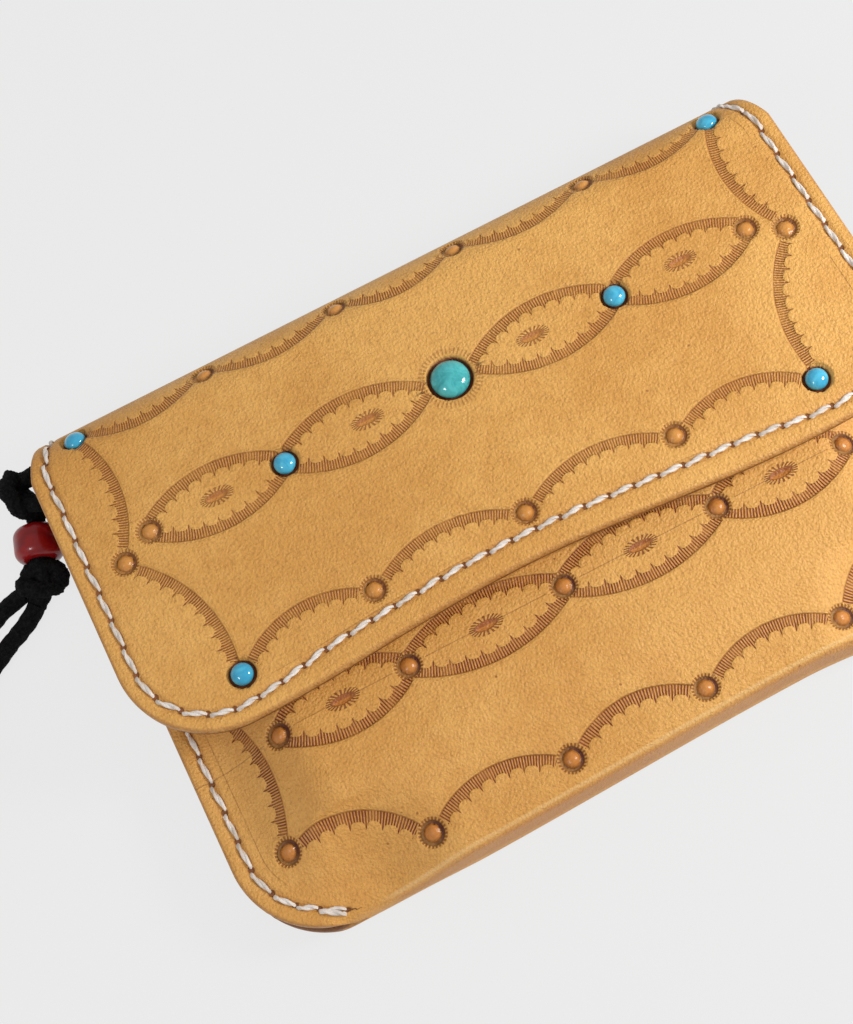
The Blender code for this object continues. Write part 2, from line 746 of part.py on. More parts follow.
def build_eyelet(material):
    bottom = divider_level[1] - GAP - eyelet_flange_t
    top = divider_level[1] + divider_t + GAP + eyelet_flange_t
    barrel = eyelet_r + eyelet_barrel
    profile = [(eyelet_r, bottom), (eyelet_flange_r, bottom), (eyelet_flange_r, bottom + eyelet_flange_t),
               (barrel, bottom + eyelet_flange_t), (barrel, top - eyelet_flange_t),
               (eyelet_flange_r, top - eyelet_flange_t), (eyelet_flange_r, top), (eyelet_r, top)]
    bm = turned(profile, 12, True)
    put(bm, (*eyelet_xy, 0), (0, 0, 1))
    add_object("eyelet", bm, material)


def ring_place():
    """Return the ring's centre and its outermost wire point."""
    heading = Vector((*lace_ring_heading, 0)).normalized()
    sheet_z = divider_level[1] + divider_t / 2
    reach = math.sqrt(lace_ring_r ** 2 - (lace_ring_z - sheet_z) ** 2)
    centre = Vector((*eyelet_xy, lace_ring_z)) + heading * reach
    return centre, centre + heading * lace_ring_r, heading


def build_ring(material):
    centre, outer, heading = ring_place()
    bm = bmesh.new()
    loops = []
    for i in range(16):
        a = math.tau * i / 16
        spoke = heading * math.cos(a) + Vector((0, 0, 1)) * math.sin(a)
        side = heading.cross(Vector((0, 0, 1)))
        loops.append([bm.verts.new(centre + spoke * (lace_ring_r + lace_ring_wire * math.cos(b)) +
                                   side * lace_ring_wire * math.sin(b))
                      for b in (math.tau * k / 6 for k in range(6))])
    for a, b in zip(loops, loops[1:] + loops[:1]):
        for i in range(6):
            bm.faces.new([a[i - 1], a[i], b[i], b[i - 1]])
    add_object("lace_ring", bm, material, 60.0)


def tube(path, radius, sides=8):
    """Return a capped tube along a path of points."""
    points = [Vector(p) for p in path]
    bm = bmesh.new()
    side = None
    rings = []
    for i, point in enumerate(points):
        along = (points[min(i + 1, len(points) - 1)] - points[max(i - 1, 0)]).normalized()
        if side is None:
            side = along.cross(Vector((0.13, 0.21, 1)))
        side = (side - along * side.dot(along)).normalized()
        up = side.cross(along)
        rings.append([bm.verts.new(point + (side * math.cos(a) + up * math.sin(a)) * radius)
                      for a in (math.tau * k / sides for k in range(sides))])
    for a, b in zip(rings, rings[1:]):
        for k in range(sides):
            bm.faces.new([a[k - 1], a[k], b[k], b[k - 1]])
    bm.faces.new(rings[0])
    bm.faces.new(rings[-1][::-1])
    bmesh.ops.recalc_face_normals(bm, faces=bm.faces)
    return bm


def smooth_path(points, step):
    """Return points every step along a Catmull-Rom curve through the given ones."""
    p = [Vector(q) for q in points]
    p = [2 * p[0] - p[1]] + p + [2 * p[-1] - p[-2]]
    dense = []
    for a, b, c, d in zip(p, p[1:], p[2:], p[3:]):
        for i in range(12):
            t = i / 12
            dense.append(0.5 * ((2 * b) + (c - a) * t + (2 * a - 5 * b + 4 * c - d) * t * t +
                                (3 * b - a - 3 * c + d) * t ** 3))
    dense.append(p[-2])
    kept = [dense[0]]
    run = 0.0
    for a, b in zip(dense, dense[1:]):
        run += (b - a).length
        if run >= step:
            kept.append(b)
            run = 0.0
    if run > step / 2:
        kept.append(dense[-1])
    else:
        kept[-1] = dense[-1]
    return kept


def melt(name, tubes, voxel, share, material):
    """Join overlapping tubes into one closed lump."""
    bm = bmesh.new()
    for piece in tubes:
        mesh = bpy.data.meshes.new(name + "_piece")
        piece.to_mesh(mesh)
        piece.free()
        bm.from_mesh(mesh)
        bpy.data.meshes.remove(mesh)
    thing = add_object(name, bm, material, 60.0)
    remesh = thing.modifiers.new("one_body", "REMESH")
    remesh.mode = "VOXEL"
    remesh.voxel_size = voxel
    thin = thing.modifiers.new("fewer_faces", "DECIMATE")
    thin.ratio = share
    return thing


def bead_frame():
    axis = Vector((*bead_heading, 0)).normalized()
    return Vector(bead_mid), axis


def build_bead(material):
    middle, axis = bead_frame()
    profile = [(bead_bore, -bead_half), (bead_r * 0.78, -bead_half), (bead_r * 0.96, -bead_half * 0.62),
               (bead_r, 0.0), (bead_r * 0.96, bead_half * 0.62), (bead_r * 0.78, bead_half),
               (bead_bore, bead_half)]
    bm = turned(profile, 14, True)
    put(bm, middle, axis)
    add_object("glass_bead", bm, material, 60.0)


def build_lace(material):
    middle, axis = bead_frame()
    centre, outer, heading = ring_place()
    stem_r = bead_bore - GAP
    up = Vector((0, 0, 1))
    across = heading.cross(up)
    bight = lace_ring_wire + 3 * GAP + lace_r
    loop = []
    for degrees in range(115, -116, -23):
        a = math.radians(degrees)
        loop.append(outer + heading * (0.5 * MM - bight * math.cos(a)) -
                    across * bight * math.sin(a) * 0.9)
    top = middle + axis * (bead_half + 2.6 * MM)
    near = [top, top + Vector((0.9, 0.4, 1.8)) * MM] + loop
    far = near + [outer + Vector((-3.6, 2.6, -0.2)) * MM, outer + Vector((-5.6, 0.0, -1.2)) * MM,
                  outer + Vector((-4.4, -2.6, -0.4)) * MM]
    wrap = [outer + Vector(p) * MM for p in ((-3.4, 4.0, 1.4), (-5.2, 2.0, 2.4), (-5.0, -1.0, 1.0),
                                             (-3.4, -2.2, -2.4), (-3.0, 0.2, -3.8), (-4.4, 3.0, -2.8),
                                             (-3.4, 4.0, 1.0))]
    pieces = [tube(smooth_path(far, 1.2 * MM), lace_r * 0.94), tube(smooth_path(wrap, 1.2 * MM), lace_r),
              tube(smooth_path([middle + axis * GAP, middle + axis * 2 * MM,
                                middle + axis * (bead_half + 1.0 * MM), top,
                                outer + Vector((-4.6, -1.0, -0.4)) * MM], 1.0 * MM), stem_r)]
    melt("lace_hitch", pieces, 0.45 * MM, 0.1, material)

    knot = Vector(knot_mid)
    foot = middle - axis * (bead_half + 1.0 * MM)
    turn = [knot + Vector(p) * MM for p in ((-2.2, 0.8, 0.2), (0.4, 1.3, 0.9), (2.4, 0.2, 0.2),
                                            (1.4, -1.8, -0.6), (-1.2, -2.0, 0.4), (-2.6, 0.0, 0.6),
                                            (-0.6, 1.0, -0.9))]
    pieces = [tube(smooth_path(turn, 1.2 * MM), lace_r * 1.05),
              tube(smooth_path([middle - axis * GAP, middle - axis * 2 * MM, foot, knot], 1.0 * MM), stem_r)]
    for tail in (tail_long, tail_short):
        first = Vector(tail[0]) * MM
        toward = (Vector(tail[1]) * MM - first).normalized()
        pieces.append(tube([knot, first - toward * 2.0 * MM, first - toward * 2 * GAP], lace_r))
    melt("lace_knot", pieces, 0.45 * MM, 0.12, material)
    for name, tail in (("lace_tail_long", tail_long), ("lace_tail_short", tail_short)):
        points = smooth_path([Vector(p) * MM for p in tail], 2.6 * lace_r)
        curve = bpy.data.curves.new(name, "CURVE")
        curve.dimensions = "3D"
        curve.bevel_depth = lace_r
        curve.bevel_resolution = 2
        curve.use_fill_caps = True
        spline = curve.splines.new("POLY")
        spline.points.add(len(points) - 1)
        for spot, point in zip(spline.points, points):
            spot.co = (*point, 1.0)
        curve.materials.append(material)
        bpy.context.scene.collection.objects.link(bpy.data.objects.new(name, curve))


def add_hinge():
    """Hang everything that moves with the flap on its hinge line."""
    hinge = bpy.data.objects.new("flap_hinge", None)
    hinge.location = (0.0, hinge_y, hinge_z)
    bpy.context.scene.collection.objects.link(hinge)
    bpy.context.view_layer.update()
    moving = ["flap_outer", "flap_lining", "flap_stitching", "snap_socket"] + stone_names
    for name in moving:
        thing = bpy.data.objects[name]
        thing.parent = hinge
        thing.matrix_parent_inverse = hinge.matrix_world.inverted()


def main():
    clear_scene()
    tan = make_material("carved_leather", (0.72, 0.40, 0.13), 0.55)
    plain = make_material("plain_leather", (0.66, 0.38, 0.15), 0.65)
    white = make_material("waxed_thread", (0.85, 0.82, 0.76), 0.6)
    blue = make_material("turquoise_blue", (0.06, 0.43, 0.62), 0.25)
    green = make_material("turquoise_green", (0.06, 0.40, 0.42), 0.25)
    steel = make_material("nickel", (0.70, 0.70, 0.70), 0.3, 1.0)
    black = make_material("black_suede", (0.012, 0.012, 0.012), 0.95)
    red = make_material("red_glass", (0.25, 0.01, 0.01), 0.12)
    build_shell(tan)
    build_fold("top_fold", fold_r, shell_t, body_half, fold_half, tan)
    build_fold("fold_lining", fold_r - flap_t - GAP, lining_t, body_half - lining_step,
               fold_half - lining_inset, plain)
    build_flap(tan, plain)
    hole = disc(eyelet_xy, eyelet_r + eyelet_barrel + GAP, 12)
    inner_sheet("divider_panel", divider_level, divider_t, inner_top, plain, True, [hole])
    inner_sheet("card_pocket_lower", lower_pocket_level, card_t, lower_pocket_top, plain)
    inner_sheet("card_pocket_upper", upper_pocket_level, card_t, upper_pocket_top, plain)
    build_stones(blue, green)
    build_snap(steel)
    build_stitching(white)
    build_eyelet(steel)
    build_ring(steel)
    build_bead(red)
    build_lace(black)
    add_hinge()


main()
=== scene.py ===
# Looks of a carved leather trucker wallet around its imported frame. Lengths below are in millimetres.
import math

import bmesh
import bpy
import numpy as np
from mathutils import Matrix, Vector, kdtree, noise


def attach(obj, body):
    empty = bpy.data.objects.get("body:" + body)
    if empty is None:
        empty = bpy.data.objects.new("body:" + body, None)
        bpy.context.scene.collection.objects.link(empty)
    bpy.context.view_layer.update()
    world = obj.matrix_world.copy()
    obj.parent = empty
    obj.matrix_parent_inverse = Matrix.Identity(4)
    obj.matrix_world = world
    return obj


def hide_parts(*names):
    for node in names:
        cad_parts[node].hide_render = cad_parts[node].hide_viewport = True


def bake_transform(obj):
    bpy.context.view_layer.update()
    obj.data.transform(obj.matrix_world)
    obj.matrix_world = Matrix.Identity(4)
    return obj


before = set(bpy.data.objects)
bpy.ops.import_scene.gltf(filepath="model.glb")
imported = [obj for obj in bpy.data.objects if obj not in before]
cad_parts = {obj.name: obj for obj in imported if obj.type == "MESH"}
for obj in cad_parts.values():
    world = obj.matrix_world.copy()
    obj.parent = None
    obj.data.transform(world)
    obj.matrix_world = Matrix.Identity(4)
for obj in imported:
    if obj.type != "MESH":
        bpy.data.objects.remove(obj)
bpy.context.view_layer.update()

mm = 0.001

# The wallet's measures as its frame has them; bodyHalf and crownRun are fitted to the photograph
wallet = {
    "bodyHalf": 72.5, "bottomY": -51.7, "cornerR": 17.0, "shellT": 2.2, "edgeTop": 8.4, "frontZ": 16.2,
    "frontTop": 33.0, "seamFlat": 4.0, "crownRun": 19.0, "foldPinch": 2.6, "foldFull": 2.9, "foldDrop": 3.2,
    "droop": 2.0, "droopStart": -30.0, "droopRun": 16.0,
    "bottomRise": 2.0, "riseStart": -45.0, "riseRun": 80.0, "riseEnd": 25.0,
    "flapHalf": 75.0, "lipHalf": 72.4, "flapT": 2.3, "liningT": 1.3, "flapTop": 20.6, "flapCornerR": 18.0,
    "edgeY": -15.2, "edgeWave": 1.5, "waveLength": 110.0, "waveStart": -5.0, "edgeSlant": -0.006,
    "straightTop": 42.0, "lipAngle": 30.0, "liningInset": 0.6, "liningStep": 3.0, "gap": 0.3,
}
foldR = wallet["flapTop"] / 2
foldY = -wallet["bottomY"] - foldR
lipQ = foldY + math.radians(90 - wallet["lipAngle"]) * foldR
backQ = foldY + math.pi * foldR                  # where the flap's leather reaches the back
bendReach = wallet["frontZ"] / 2
bendStart = wallet["bottomY"] + bendReach
bendLength = math.pi * bendReach
backStart = bendStart - bendLength               # pattern line where the back's flat part begins
cornerX, cornerY = wallet["bodyHalf"] - wallet["cornerR"], wallet["bottomY"] + wallet["cornerR"]

# Tooling: rings, stones and the bands between them
tooling = {
    "rowY": 23.35, "endRing": 59.4, "rowStone": 32.9, "topQ": 47.6, "topStone": 64.9,
    "topRings": (12.1, 38.8), "sideRing": (65.6, 19.95), "lowStone": (55.5, -8.0),
    "lowRing": (29.1, -5.45), "frontRowY": -18.95, "frontRow": (29.8, 54.8),
    "frontLow": (12.7, 38.9), "frontLowY": -44.9, "frontCorner": (62.2, -36.6),
    "frontSide": (62.8, -9.0), "eyeSag": 6.5, "topSag": 4.8, "sideSag": 4.5, "lowSag": 5.2,
    "frontLowSag": 5.0, "frontSideSag": 3.8,
    "eyeEnd": {"ring": (0.2, 2.5), "small": (0.3, 2.5), "big": (4.1, 1.2)},
    "cuspPitch": 3.1, "strokes": 6, "strokeShort": 1.75, "strokeLong": 3.0, "bandDeep": 0.18,
    "ringDome": 1.5, "ringGroove": 2.1, "ringDeep": 0.5, "ringFloor": 0.3, "domeHigh": 0.45,
    "lens": (2.15, 0.8), "lensDeep": 0.45, "snap": 0.17,
    "ringTicks": 24.0, "stoneRays": 46.0, "lensRays": 22.0,
    "clearRing": 2.5, "clearStone": 2.5,
    "markReach": 3.3, "bigReach": 7.5, "lensReach": (4.6, 2.6),     # how far a stamp's marks go
}
stones = {"small": 2.0, "big": 3.55, "smallStand": 0.75, "bigStand": 1.45, "smallDome": 1.5, "bigDome": 2.1,
          "foot": -0.9, "uneven": 0.012, "rim": 0.45, "pit": 1.3, "pull": 0.12, "pullReach": 1.5}
stitching = {"pitch": 5.0, "inset": 3.1, "plyR": 0.32, "plyOffset": 0.19, "reach": 4.95, "turns": 0.9,
             "slant": 8.0, "lift": 0.12, "dip": 0.7, "seamTop": 30.5, "sweep": 82.0, "sink": 0.42,
             "stretch": (1.09, 0.9), "bow": 1.7, "bowEnds": 20.0, "grooveHalf": 1.15, "reachAside": 2.6,
             "frontSink": 0.25, "backSink": 0.72, "backTurn": -0.16, "backShift": (0.0, -0.5, 0.35)}


def smoothStep(t):
    t = np.clip(t, 0.0, 1.0)
    return t * t * (3 - 2 * t)


def placed(name, data):
    thing = bpy.data.objects.new(name, data)
    bpy.context.scene.collection.objects.link(thing)
    return thing


def meshOf(name, bm):
    mesh = bpy.data.meshes.new(name)
    bm.to_mesh(mesh)
    bm.free()
    return mesh


# Where a point of the flat leather lies on the wallet; depth counts from the outer face

def placeFlap(x, q, depth):
    angle = np.clip((q - foldY) / foldR, 0.0, math.pi)
    r = foldR - depth
    y = np.minimum(q, foldY) + r * np.sin(angle)
    return x, y, foldR + r * np.cos(angle)


def seamDistance(x, y):
    x = np.abs(x)
    across, down = x - cornerX, cornerY - y
    low = np.where(across >= 0, wallet["cornerR"] - np.hypot(across, down),
                   np.minimum(np.hypot(across, y - wallet["bottomY"]),
                              np.hypot(wallet["bodyHalf"] - x, down)))
    return np.where(down <= 0, wallet["bodyHalf"] - x, low)


def crown(x, y):
    return smoothStep((seamDistance(x, y) - wallet["seamFlat"]) / wallet["crownRun"])


def bodyTop(x, y):
    droop = wallet["droop"] * smoothStep((wallet["droopStart"] - y) / wallet["droopRun"])
    return wallet["edgeTop"] + (wallet["frontZ"] - droop - wallet["edgeTop"]) * crown(x, y)


def placeShell(x, q, depth):
    ax = np.abs(x)
    t = np.clip((bendStart - q) / bendLength, 0.0, 1.0)
    innerX = np.minimum(ax, cornerX)
    fill = crown(innerX, wallet["bottomY"])
    rise = wallet["bottomRise"] * smoothStep((x - wallet["riseStart"]) / wallet["riseRun"])
    rise = rise * smoothStep((cornerX - x) / wallet["riseEnd"])
    low = wallet["bottomY"] + rise
    reach = wallet["foldPinch"] + (wallet["foldFull"] - wallet["foldPinch"]) * fill
    half = bodyTop(innerX, low + reach) / 2
    drop = half + (wallet["foldDrop"] - half) * fill
    straight = bendReach - reach - rise
    corner = math.pi * (reach + drop) / 4
    wall = 2 * (half - drop)
    past = t * 2 * (straight + corner + wall / 2) - straight
    upper = math.pi / 2 * np.clip(past / corner, 0.0, 1.0)
    lower = math.pi / 2 * np.clip((past - corner - wall) / corner, 0.0, 1.0)
    y = low + reach - (reach - depth) * np.where(past < corner + wall, np.sin(upper), np.cos(lower))
    z = 2 * half - drop + np.where(past < corner, (drop - depth) * np.cos(upper), corner - past)
    z = np.where(past > corner + wall, drop - (drop - depth) * np.sin(lower), z)
    before, after = past < 0, past > 2 * corner + wall
    y = np.where(before, low + reach - past, np.where(after, low + reach + past - 2 * corner - wall, y))
    z = np.where(before, bodyTop(x, low + reach - past) - depth, np.where(after, depth, z))
    flatY = wallet["bottomY"] + bendReach * np.abs(1 - 2 * t)
    flatZ = np.where(t < 0.5, bodyTop(x, flatY) - depth, depth)
    share = smoothStep((ax - cornerX) / (0.4 * wallet["cornerR"]))
    y, z = y + (flatY - y) * share, z + (flatZ - z) * share
    front, back = q >= bendStart, q <= backStart
    y = np.where(front, q, np.where(back, bendStart + backStart - q, y))
    z = np.where(front, bodyTop(x, q) - depth, np.where(back, depth, z))
    return x, y, z


def bendQ(y):
    return y if y >= bendStart else bendStart - (bendStart - y) / (2 * bendReach) * bendLength


def mirrorQ(q):
    return 2 * bendStart - bendLength - q


# Outlines of the flat leather, run counter-clockwise, and distances from them

def arcPoints(centre, radius, start, stop, steps):
    angles = np.radians(np.linspace(start, stop, steps + 1))
    return [(centre[0] + radius * math.cos(a), centre[1] + radius * math.sin(a)) for a in angles]


def filled(points, step, closed=True):
    dense = []
    ends = points[1:] + points[:1] if closed else points[1:]
    for a, b in zip(points, ends):
        count = max(1, round(math.dist(a, b) / step))
        dense += [(a[0] + (b[0] - a[0]) * i / count, a[1] + (b[1] - a[1]) * i / count)
                  for i in range(count)]
    return np.array(dense if closed else dense + [points[-1]])


def edgeLine(x):
    wave = math.cos(math.tau * (x - wallet["waveStart"]) / wallet["waveLength"])
    return wallet["edgeY"] + wallet["edgeWave"] * wave + wallet["edgeSlant"] * x


def flapSide(inset, lowest, bow=0.0):
    middle = wallet["flapHalf"] - wallet["flapCornerR"]
    bottom = [(x, edgeLine(x) + inset + bow * smoothStep((middle - abs(x)) / stitching["bowEnds"]))
              for x in np.linspace(-middle, middle, 41)]
    left, right = (arcPoints((x, edgeLine(x) + wallet["flapCornerR"]), wallet["flapCornerR"] - inset,
                             start, start + 90, 24) for x, start in ((-middle, -180), (middle, -90)))
    top = [(wallet["flapHalf"] - inset, wallet["straightTop"]), (wallet["lipHalf"] - inset, lipQ)]
    if lowest > lipQ:
        share = (lowest - lipQ) / (backQ - lipQ)
        half = wallet["lipHalf"] + (wallet["bodyHalf"] - wallet["lipHalf"]) * share
        top.append((half - inset, lowest))
    return [(-x, q) for x, q in top[::-1]] + left + bottom[1:-1] + right + top


def shellSide(inset):
    corner = arcPoints((cornerX, cornerY), wallet["cornerR"] - inset, 0, -90, 30)
    corner = [(x, bendQ(y)) for x, y in corner]
    right = [(wallet["bodyHalf"] - inset, wallet["frontTop"])] + corner
    right += [(x, mirrorQ(q)) for x, q in corner[-2::-1]] + [(wallet["bodyHalf"] - inset, mirrorQ(foldY))]
    return right[::-1] + [(-x, q) for x, q in right]


def seamPath(side, inset):
    path = [(wallet["bodyHalf"] - inset, y) for y in np.linspace(stitching["seamTop"], cornerY, 12)]
    path += arcPoints((cornerX, cornerY), wallet["cornerR"] - inset, 0, -stitching["sweep"], 24)[1:]
    return [(side * x, bendQ(y)) for x, y in path]


def sewnLengths(line):
    # lengths along a sewing line: as it is, and as the sewer spaced it (closer along x than along y)
    steps = np.diff(line, axis=0)
    real, felt = (np.concatenate([[0.0], np.cumsum(np.linalg.norm(each, axis=1))])
                  for each in (steps, steps * stitching["stretch"]))
    return real, felt


# For each point: distance inside the outline, nearest place on it, outward direction, length along it
def nearOutline(points, outline, closed=True):
    count = len(outline)
    tree = kdtree.KDTree(count)
    for index, point in enumerate(outline):
        tree.insert((*point, 0.0), index)
    tree.balance()
    nearest = np.array([tree.find((x, y, 0.0))[1] for x, y in points.tolist()])
    run = np.roll(outline, -1, axis=0) - outline
    lengths = np.linalg.norm(run, axis=1)
    starts = np.concatenate([[0.0], np.cumsum(lengths)[:-1]])
    normals = np.stack([run[:, 1], -run[:, 0]], 1) / lengths[:, None]
    corners = normals + np.roll(normals, 1, axis=0)
    corners /= np.linalg.norm(corners, axis=1)[:, None] + 1e-9
    best = None
    for segment in (nearest, nearest - 1):
        segment = segment % count if closed else np.clip(segment, 0, count - 2)
        t = ((points - outline[segment]) * run[segment]).sum(1) / lengths[segment] ** 2
        near = outline[segment] + run[segment] * np.clip(t, 0.0, 1.0)[:, None]
        out = normals[segment]
        if closed:
            out = np.where(t[:, None] <= 0.0, corners[segment], out)
            out = np.where(t[:, None] >= 1.0, corners[(segment + 1) % count], out)
        gap = np.linalg.norm(points - near, axis=1)
        found = [gap, near, out, starts[segment] + np.clip(t, 0.0, 1.0) * lengths[segment]]
        if best is None:
            best = found
        else:
            closer = gap < best[0]
            best = [np.where(closer if f.ndim == 1 else closer[:, None], f, b) for f, b in zip(found, best)]
    gap, spot, out, along = best
    inside = -((points - spot) * out).sum(1)
    return np.where(inside < 0, -1.0, 1.0) * gap, spot, out, along


# The pattern of the tooling on each piece of leather

# Bands along a row of points; inside says on which side of the row they bulge
def bandsOf(points, sag, clears, inside):
    made = []
    for (a, b), (clearA, clearB) in zip(zip(points, points[1:]), zip(clears, clears[1:])):
        made.append((a, b, sag, clearA, clearB) if inside else (b, a, sag, clearB, clearA))
    return made


# Two bands between each two posts of a row; they wrap a ring or stone and point at the big stone
def eyesOf(points, kinds):
    made = []
    for a, b, kindA, kindB in zip(points, points[1:], kinds, kinds[1:]):
        (aheadA, asideA), (aheadB, asideB) = tooling["eyeEnd"][kindA], tooling["eyeEnd"][kindB]
        sag = tooling["eyeSag"] - (asideA + asideB) / 2
        for side in (1, -1):
            ends = [(a[0] + aheadA, a[1] + side * asideA), (b[0] - aheadB, b[1] + side * asideB)]
            made.append((*ends[::side], sag, 0.0, 0.0))
    return made


def lensesOf(row):
    return [((a[0] + b[0]) / 2, a[1]) for a, b in zip(row, row[1:])]


def flapPattern():
    t = tooling
    ring, small = t["clearRing"], t["clearStone"]
    row = [(x, t["rowY"]) for x in (-t["endRing"], -t["rowStone"], 0.0, t["rowStone"], t["endRing"])]
    bands = eyesOf(row, ["ring", "small", "big", "small", "ring"])
    inner, outer = t["topRings"]
    top = [(x, t["topQ"]) for x in (-t["topStone"], -outer, -inner, inner, outer, t["topStone"])]
    bands += bandsOf(top, t["topSag"], [small, ring, ring, ring, ring, small], False)
    lowX, lowY = t["lowRing"]
    cornerStone = t["lowStone"]
    low = [(-cornerStone[0], cornerStone[1]), (-lowX, lowY), (0.0, lowY), (lowX, lowY), cornerStone]
    bands += bandsOf(low, t["lowSag"], [small, ring, ring, ring, small], True)
    for side in (-1, 1):
        posts = [(side * t["topStone"], t["topQ"]), (side * t["sideRing"][0], t["sideRing"][1]),
                 (side * cornerStone[0], cornerStone[1])]
        bands += bandsOf(posts, t["sideSag"], [small, ring, small], side < 0)
    rings = [row[0], row[-1], *top[1:-1], *low[1:-1]]
    rings += [(side * t["sideRing"][0], t["sideRing"][1]) for side in (-1, 1)]
    settings = [(row[2], stones["big"])]
    settings += [(post, stones["small"]) for post in (row[1], row[3], top[0], top[-1], low[0], low[-1])]
    return bands, rings, settings, lensesOf(row)


def shellPattern():
    t = tooling
    ring = t["clearRing"]
    near, far = t["frontRow"]
    row = [(x, t["frontRowY"]) for x in (-far, -near, 0.0, near, far)]
    clears = [ring] * 6
    bands = eyesOf(row, ["ring"] * 5)
    inner, outer = t["frontLow"]
    foot = t["frontCorner"]
    low = [(-foot[0], foot[1])] + [(x, t["frontLowY"]) for x in (-outer, -inner, inner, outer)] + [foot]
    low = [(x, bendQ(y)) for x, y in low]
    bands += bandsOf(low, t["frontLowSag"], clears, True)
    for side in (-1, 1):
        posts = [(side * t["frontSide"][0], t["frontSide"][1]), (side * foot[0], foot[1])]
        bands += bandsOf(posts, t["frontSideSag"], clears, side < 0)
    return bands, row + low, [], lensesOf(row)


# For each point: length along the nearest band, distance in from its outer line, 1 where it is near one
def bandCoordinates(points, bands):
    found = np.zeros((len(points), 3))
    found[:, 1] = 9.0
    for a, b, sag, clearA, clearB in bands:
        a, b = np.array(a), np.array(b)
        chord = np.linalg.norm(b - a)
        along = (b - a) / chord
        left = np.array((-along[1], along[0]))
        radius = (chord ** 2 / 4 + sag ** 2) / (2 * sag)
        centre = (a + b) / 2 + left * (sag - radius)
        half = math.asin(chord / 2 / radius)
        start, stop = -half + clearA / radius, half - clearB / radius
        cusps = max(2, round((stop - start) * radius / tooling["cuspPitch"]))
        offset = points - centre
        s = (np.arctan2(offset @ along, offset @ left) - start) * radius
        length = (stop - start) * radius
        s = s * cusps * tooling["cuspPitch"] / length
        r = radius - np.linalg.norm(offset, axis=1)
        full = cusps * tooling["cuspPitch"]
        near = (s > -0.1) & (s < full + 0.1) & (r > -0.7) & (r < 3.3) & (np.abs(r) < np.abs(found[:, 1]))
        found[near] = np.stack([s[near], r[near], np.ones(near.sum())], 1)
    return found


# For each point: offset from the nearest centre, distance to it and its number
def nearestCentre(points, centres):
    centres = np.array(centres)
    gaps = np.linalg.norm(points[:, None] - centres, axis=2)
    best = gaps.argmin(1)
    return points - centres[best], gaps[np.arange(len(points)), best], best


def strokeReach(s):
    f = s / tooling["cuspPitch"]
    away = np.abs(2 * (f - np.floor(f)) - 1)
    return tooling["strokeShort"] + (tooling["strokeLong"] - tooling["strokeShort"]) * away ** 4


# How far the tools press the leather in
def toolDepth(points, band, pattern):
    t = tooling
    _, rings, settings, lenses = pattern
    s, r, on = band.T
    depth = t["bandDeep"] * on * smoothStep((r + 0.1) / 0.3) * smoothStep((strokeReach(s) - r) / 0.4)
    _, gap, _ = nearestCentre(points, rings)
    groove = smoothStep((gap - t["ringDome"] + 0.25) / 0.3)
    groove = groove * smoothStep((t["ringGroove"] + 0.35 - gap) / 0.35)
    dome = t["domeHigh"] * np.clip(1 - (gap / t["ringDome"]) ** 2, 0.0, 1.0)
    cup = t["ringDeep"] * groove + t["ringFloor"] * (gap < t["ringDome"]) - dome
    depth = np.where(gap < t["ringGroove"] + 0.1, cup, np.where(gap < 3.0, np.maximum(cup, depth), depth))
    offset, gap, _ = nearestCentre(points, lenses)
    bowl = np.clip(1 - (offset[:, 0] / t["lens"][0]) ** 2 - (offset[:, 1] / t["lens"][1]) ** 2, 0.0, 1.0)
    depth = depth + t["lensDeep"] * smoothStep(bowl * 2.0)
    for centre, radius in settings:
        away = np.linalg.norm(points - np.array(centre), axis=1)
        edge = smoothStep((radius + stones["pullReach"] - away) / 1.2) * stones["pull"]
        depth = np.where(away < radius + stones["rim"] + 0.05, stones["pit"], depth + edge)
    return depth


# Draws grid points onto the circles of a stamp, so its rims are round
def onCircles(points, centres, radii):
    for centre, wanted in zip(centres, radii):
        offset = points - np.array(centre)
        away = np.linalg.norm(offset, axis=1)
        for radius in wanted:
            close = np.abs(away - radius) < tooling["snap"]
            points[close] = np.array(centre) + offset[close] / away[close][:, None] * radius
    return points


# A sheet of leather: a grid cut to its outline, with a burnished edge and a plain underside

# The cut edge, as inset and depth; a depth below 0 counts up from the underside
sheetEdge = {
    "thick": [(0.7, 0.0), (0.32, 0.11), (0.09, 0.36), (0.0, 0.75), (0.02, -0.6), (0.2, -0.2), (0.55, 0.0)],
    "thin": [(0.3, 0.0), (0.06, 0.14), (0.0, 0.4), (0.06, -0.14), (0.3, 0.0)],
    "thinBelow": 1.6, "step": 0.6, "seamStep": 0.8,
}


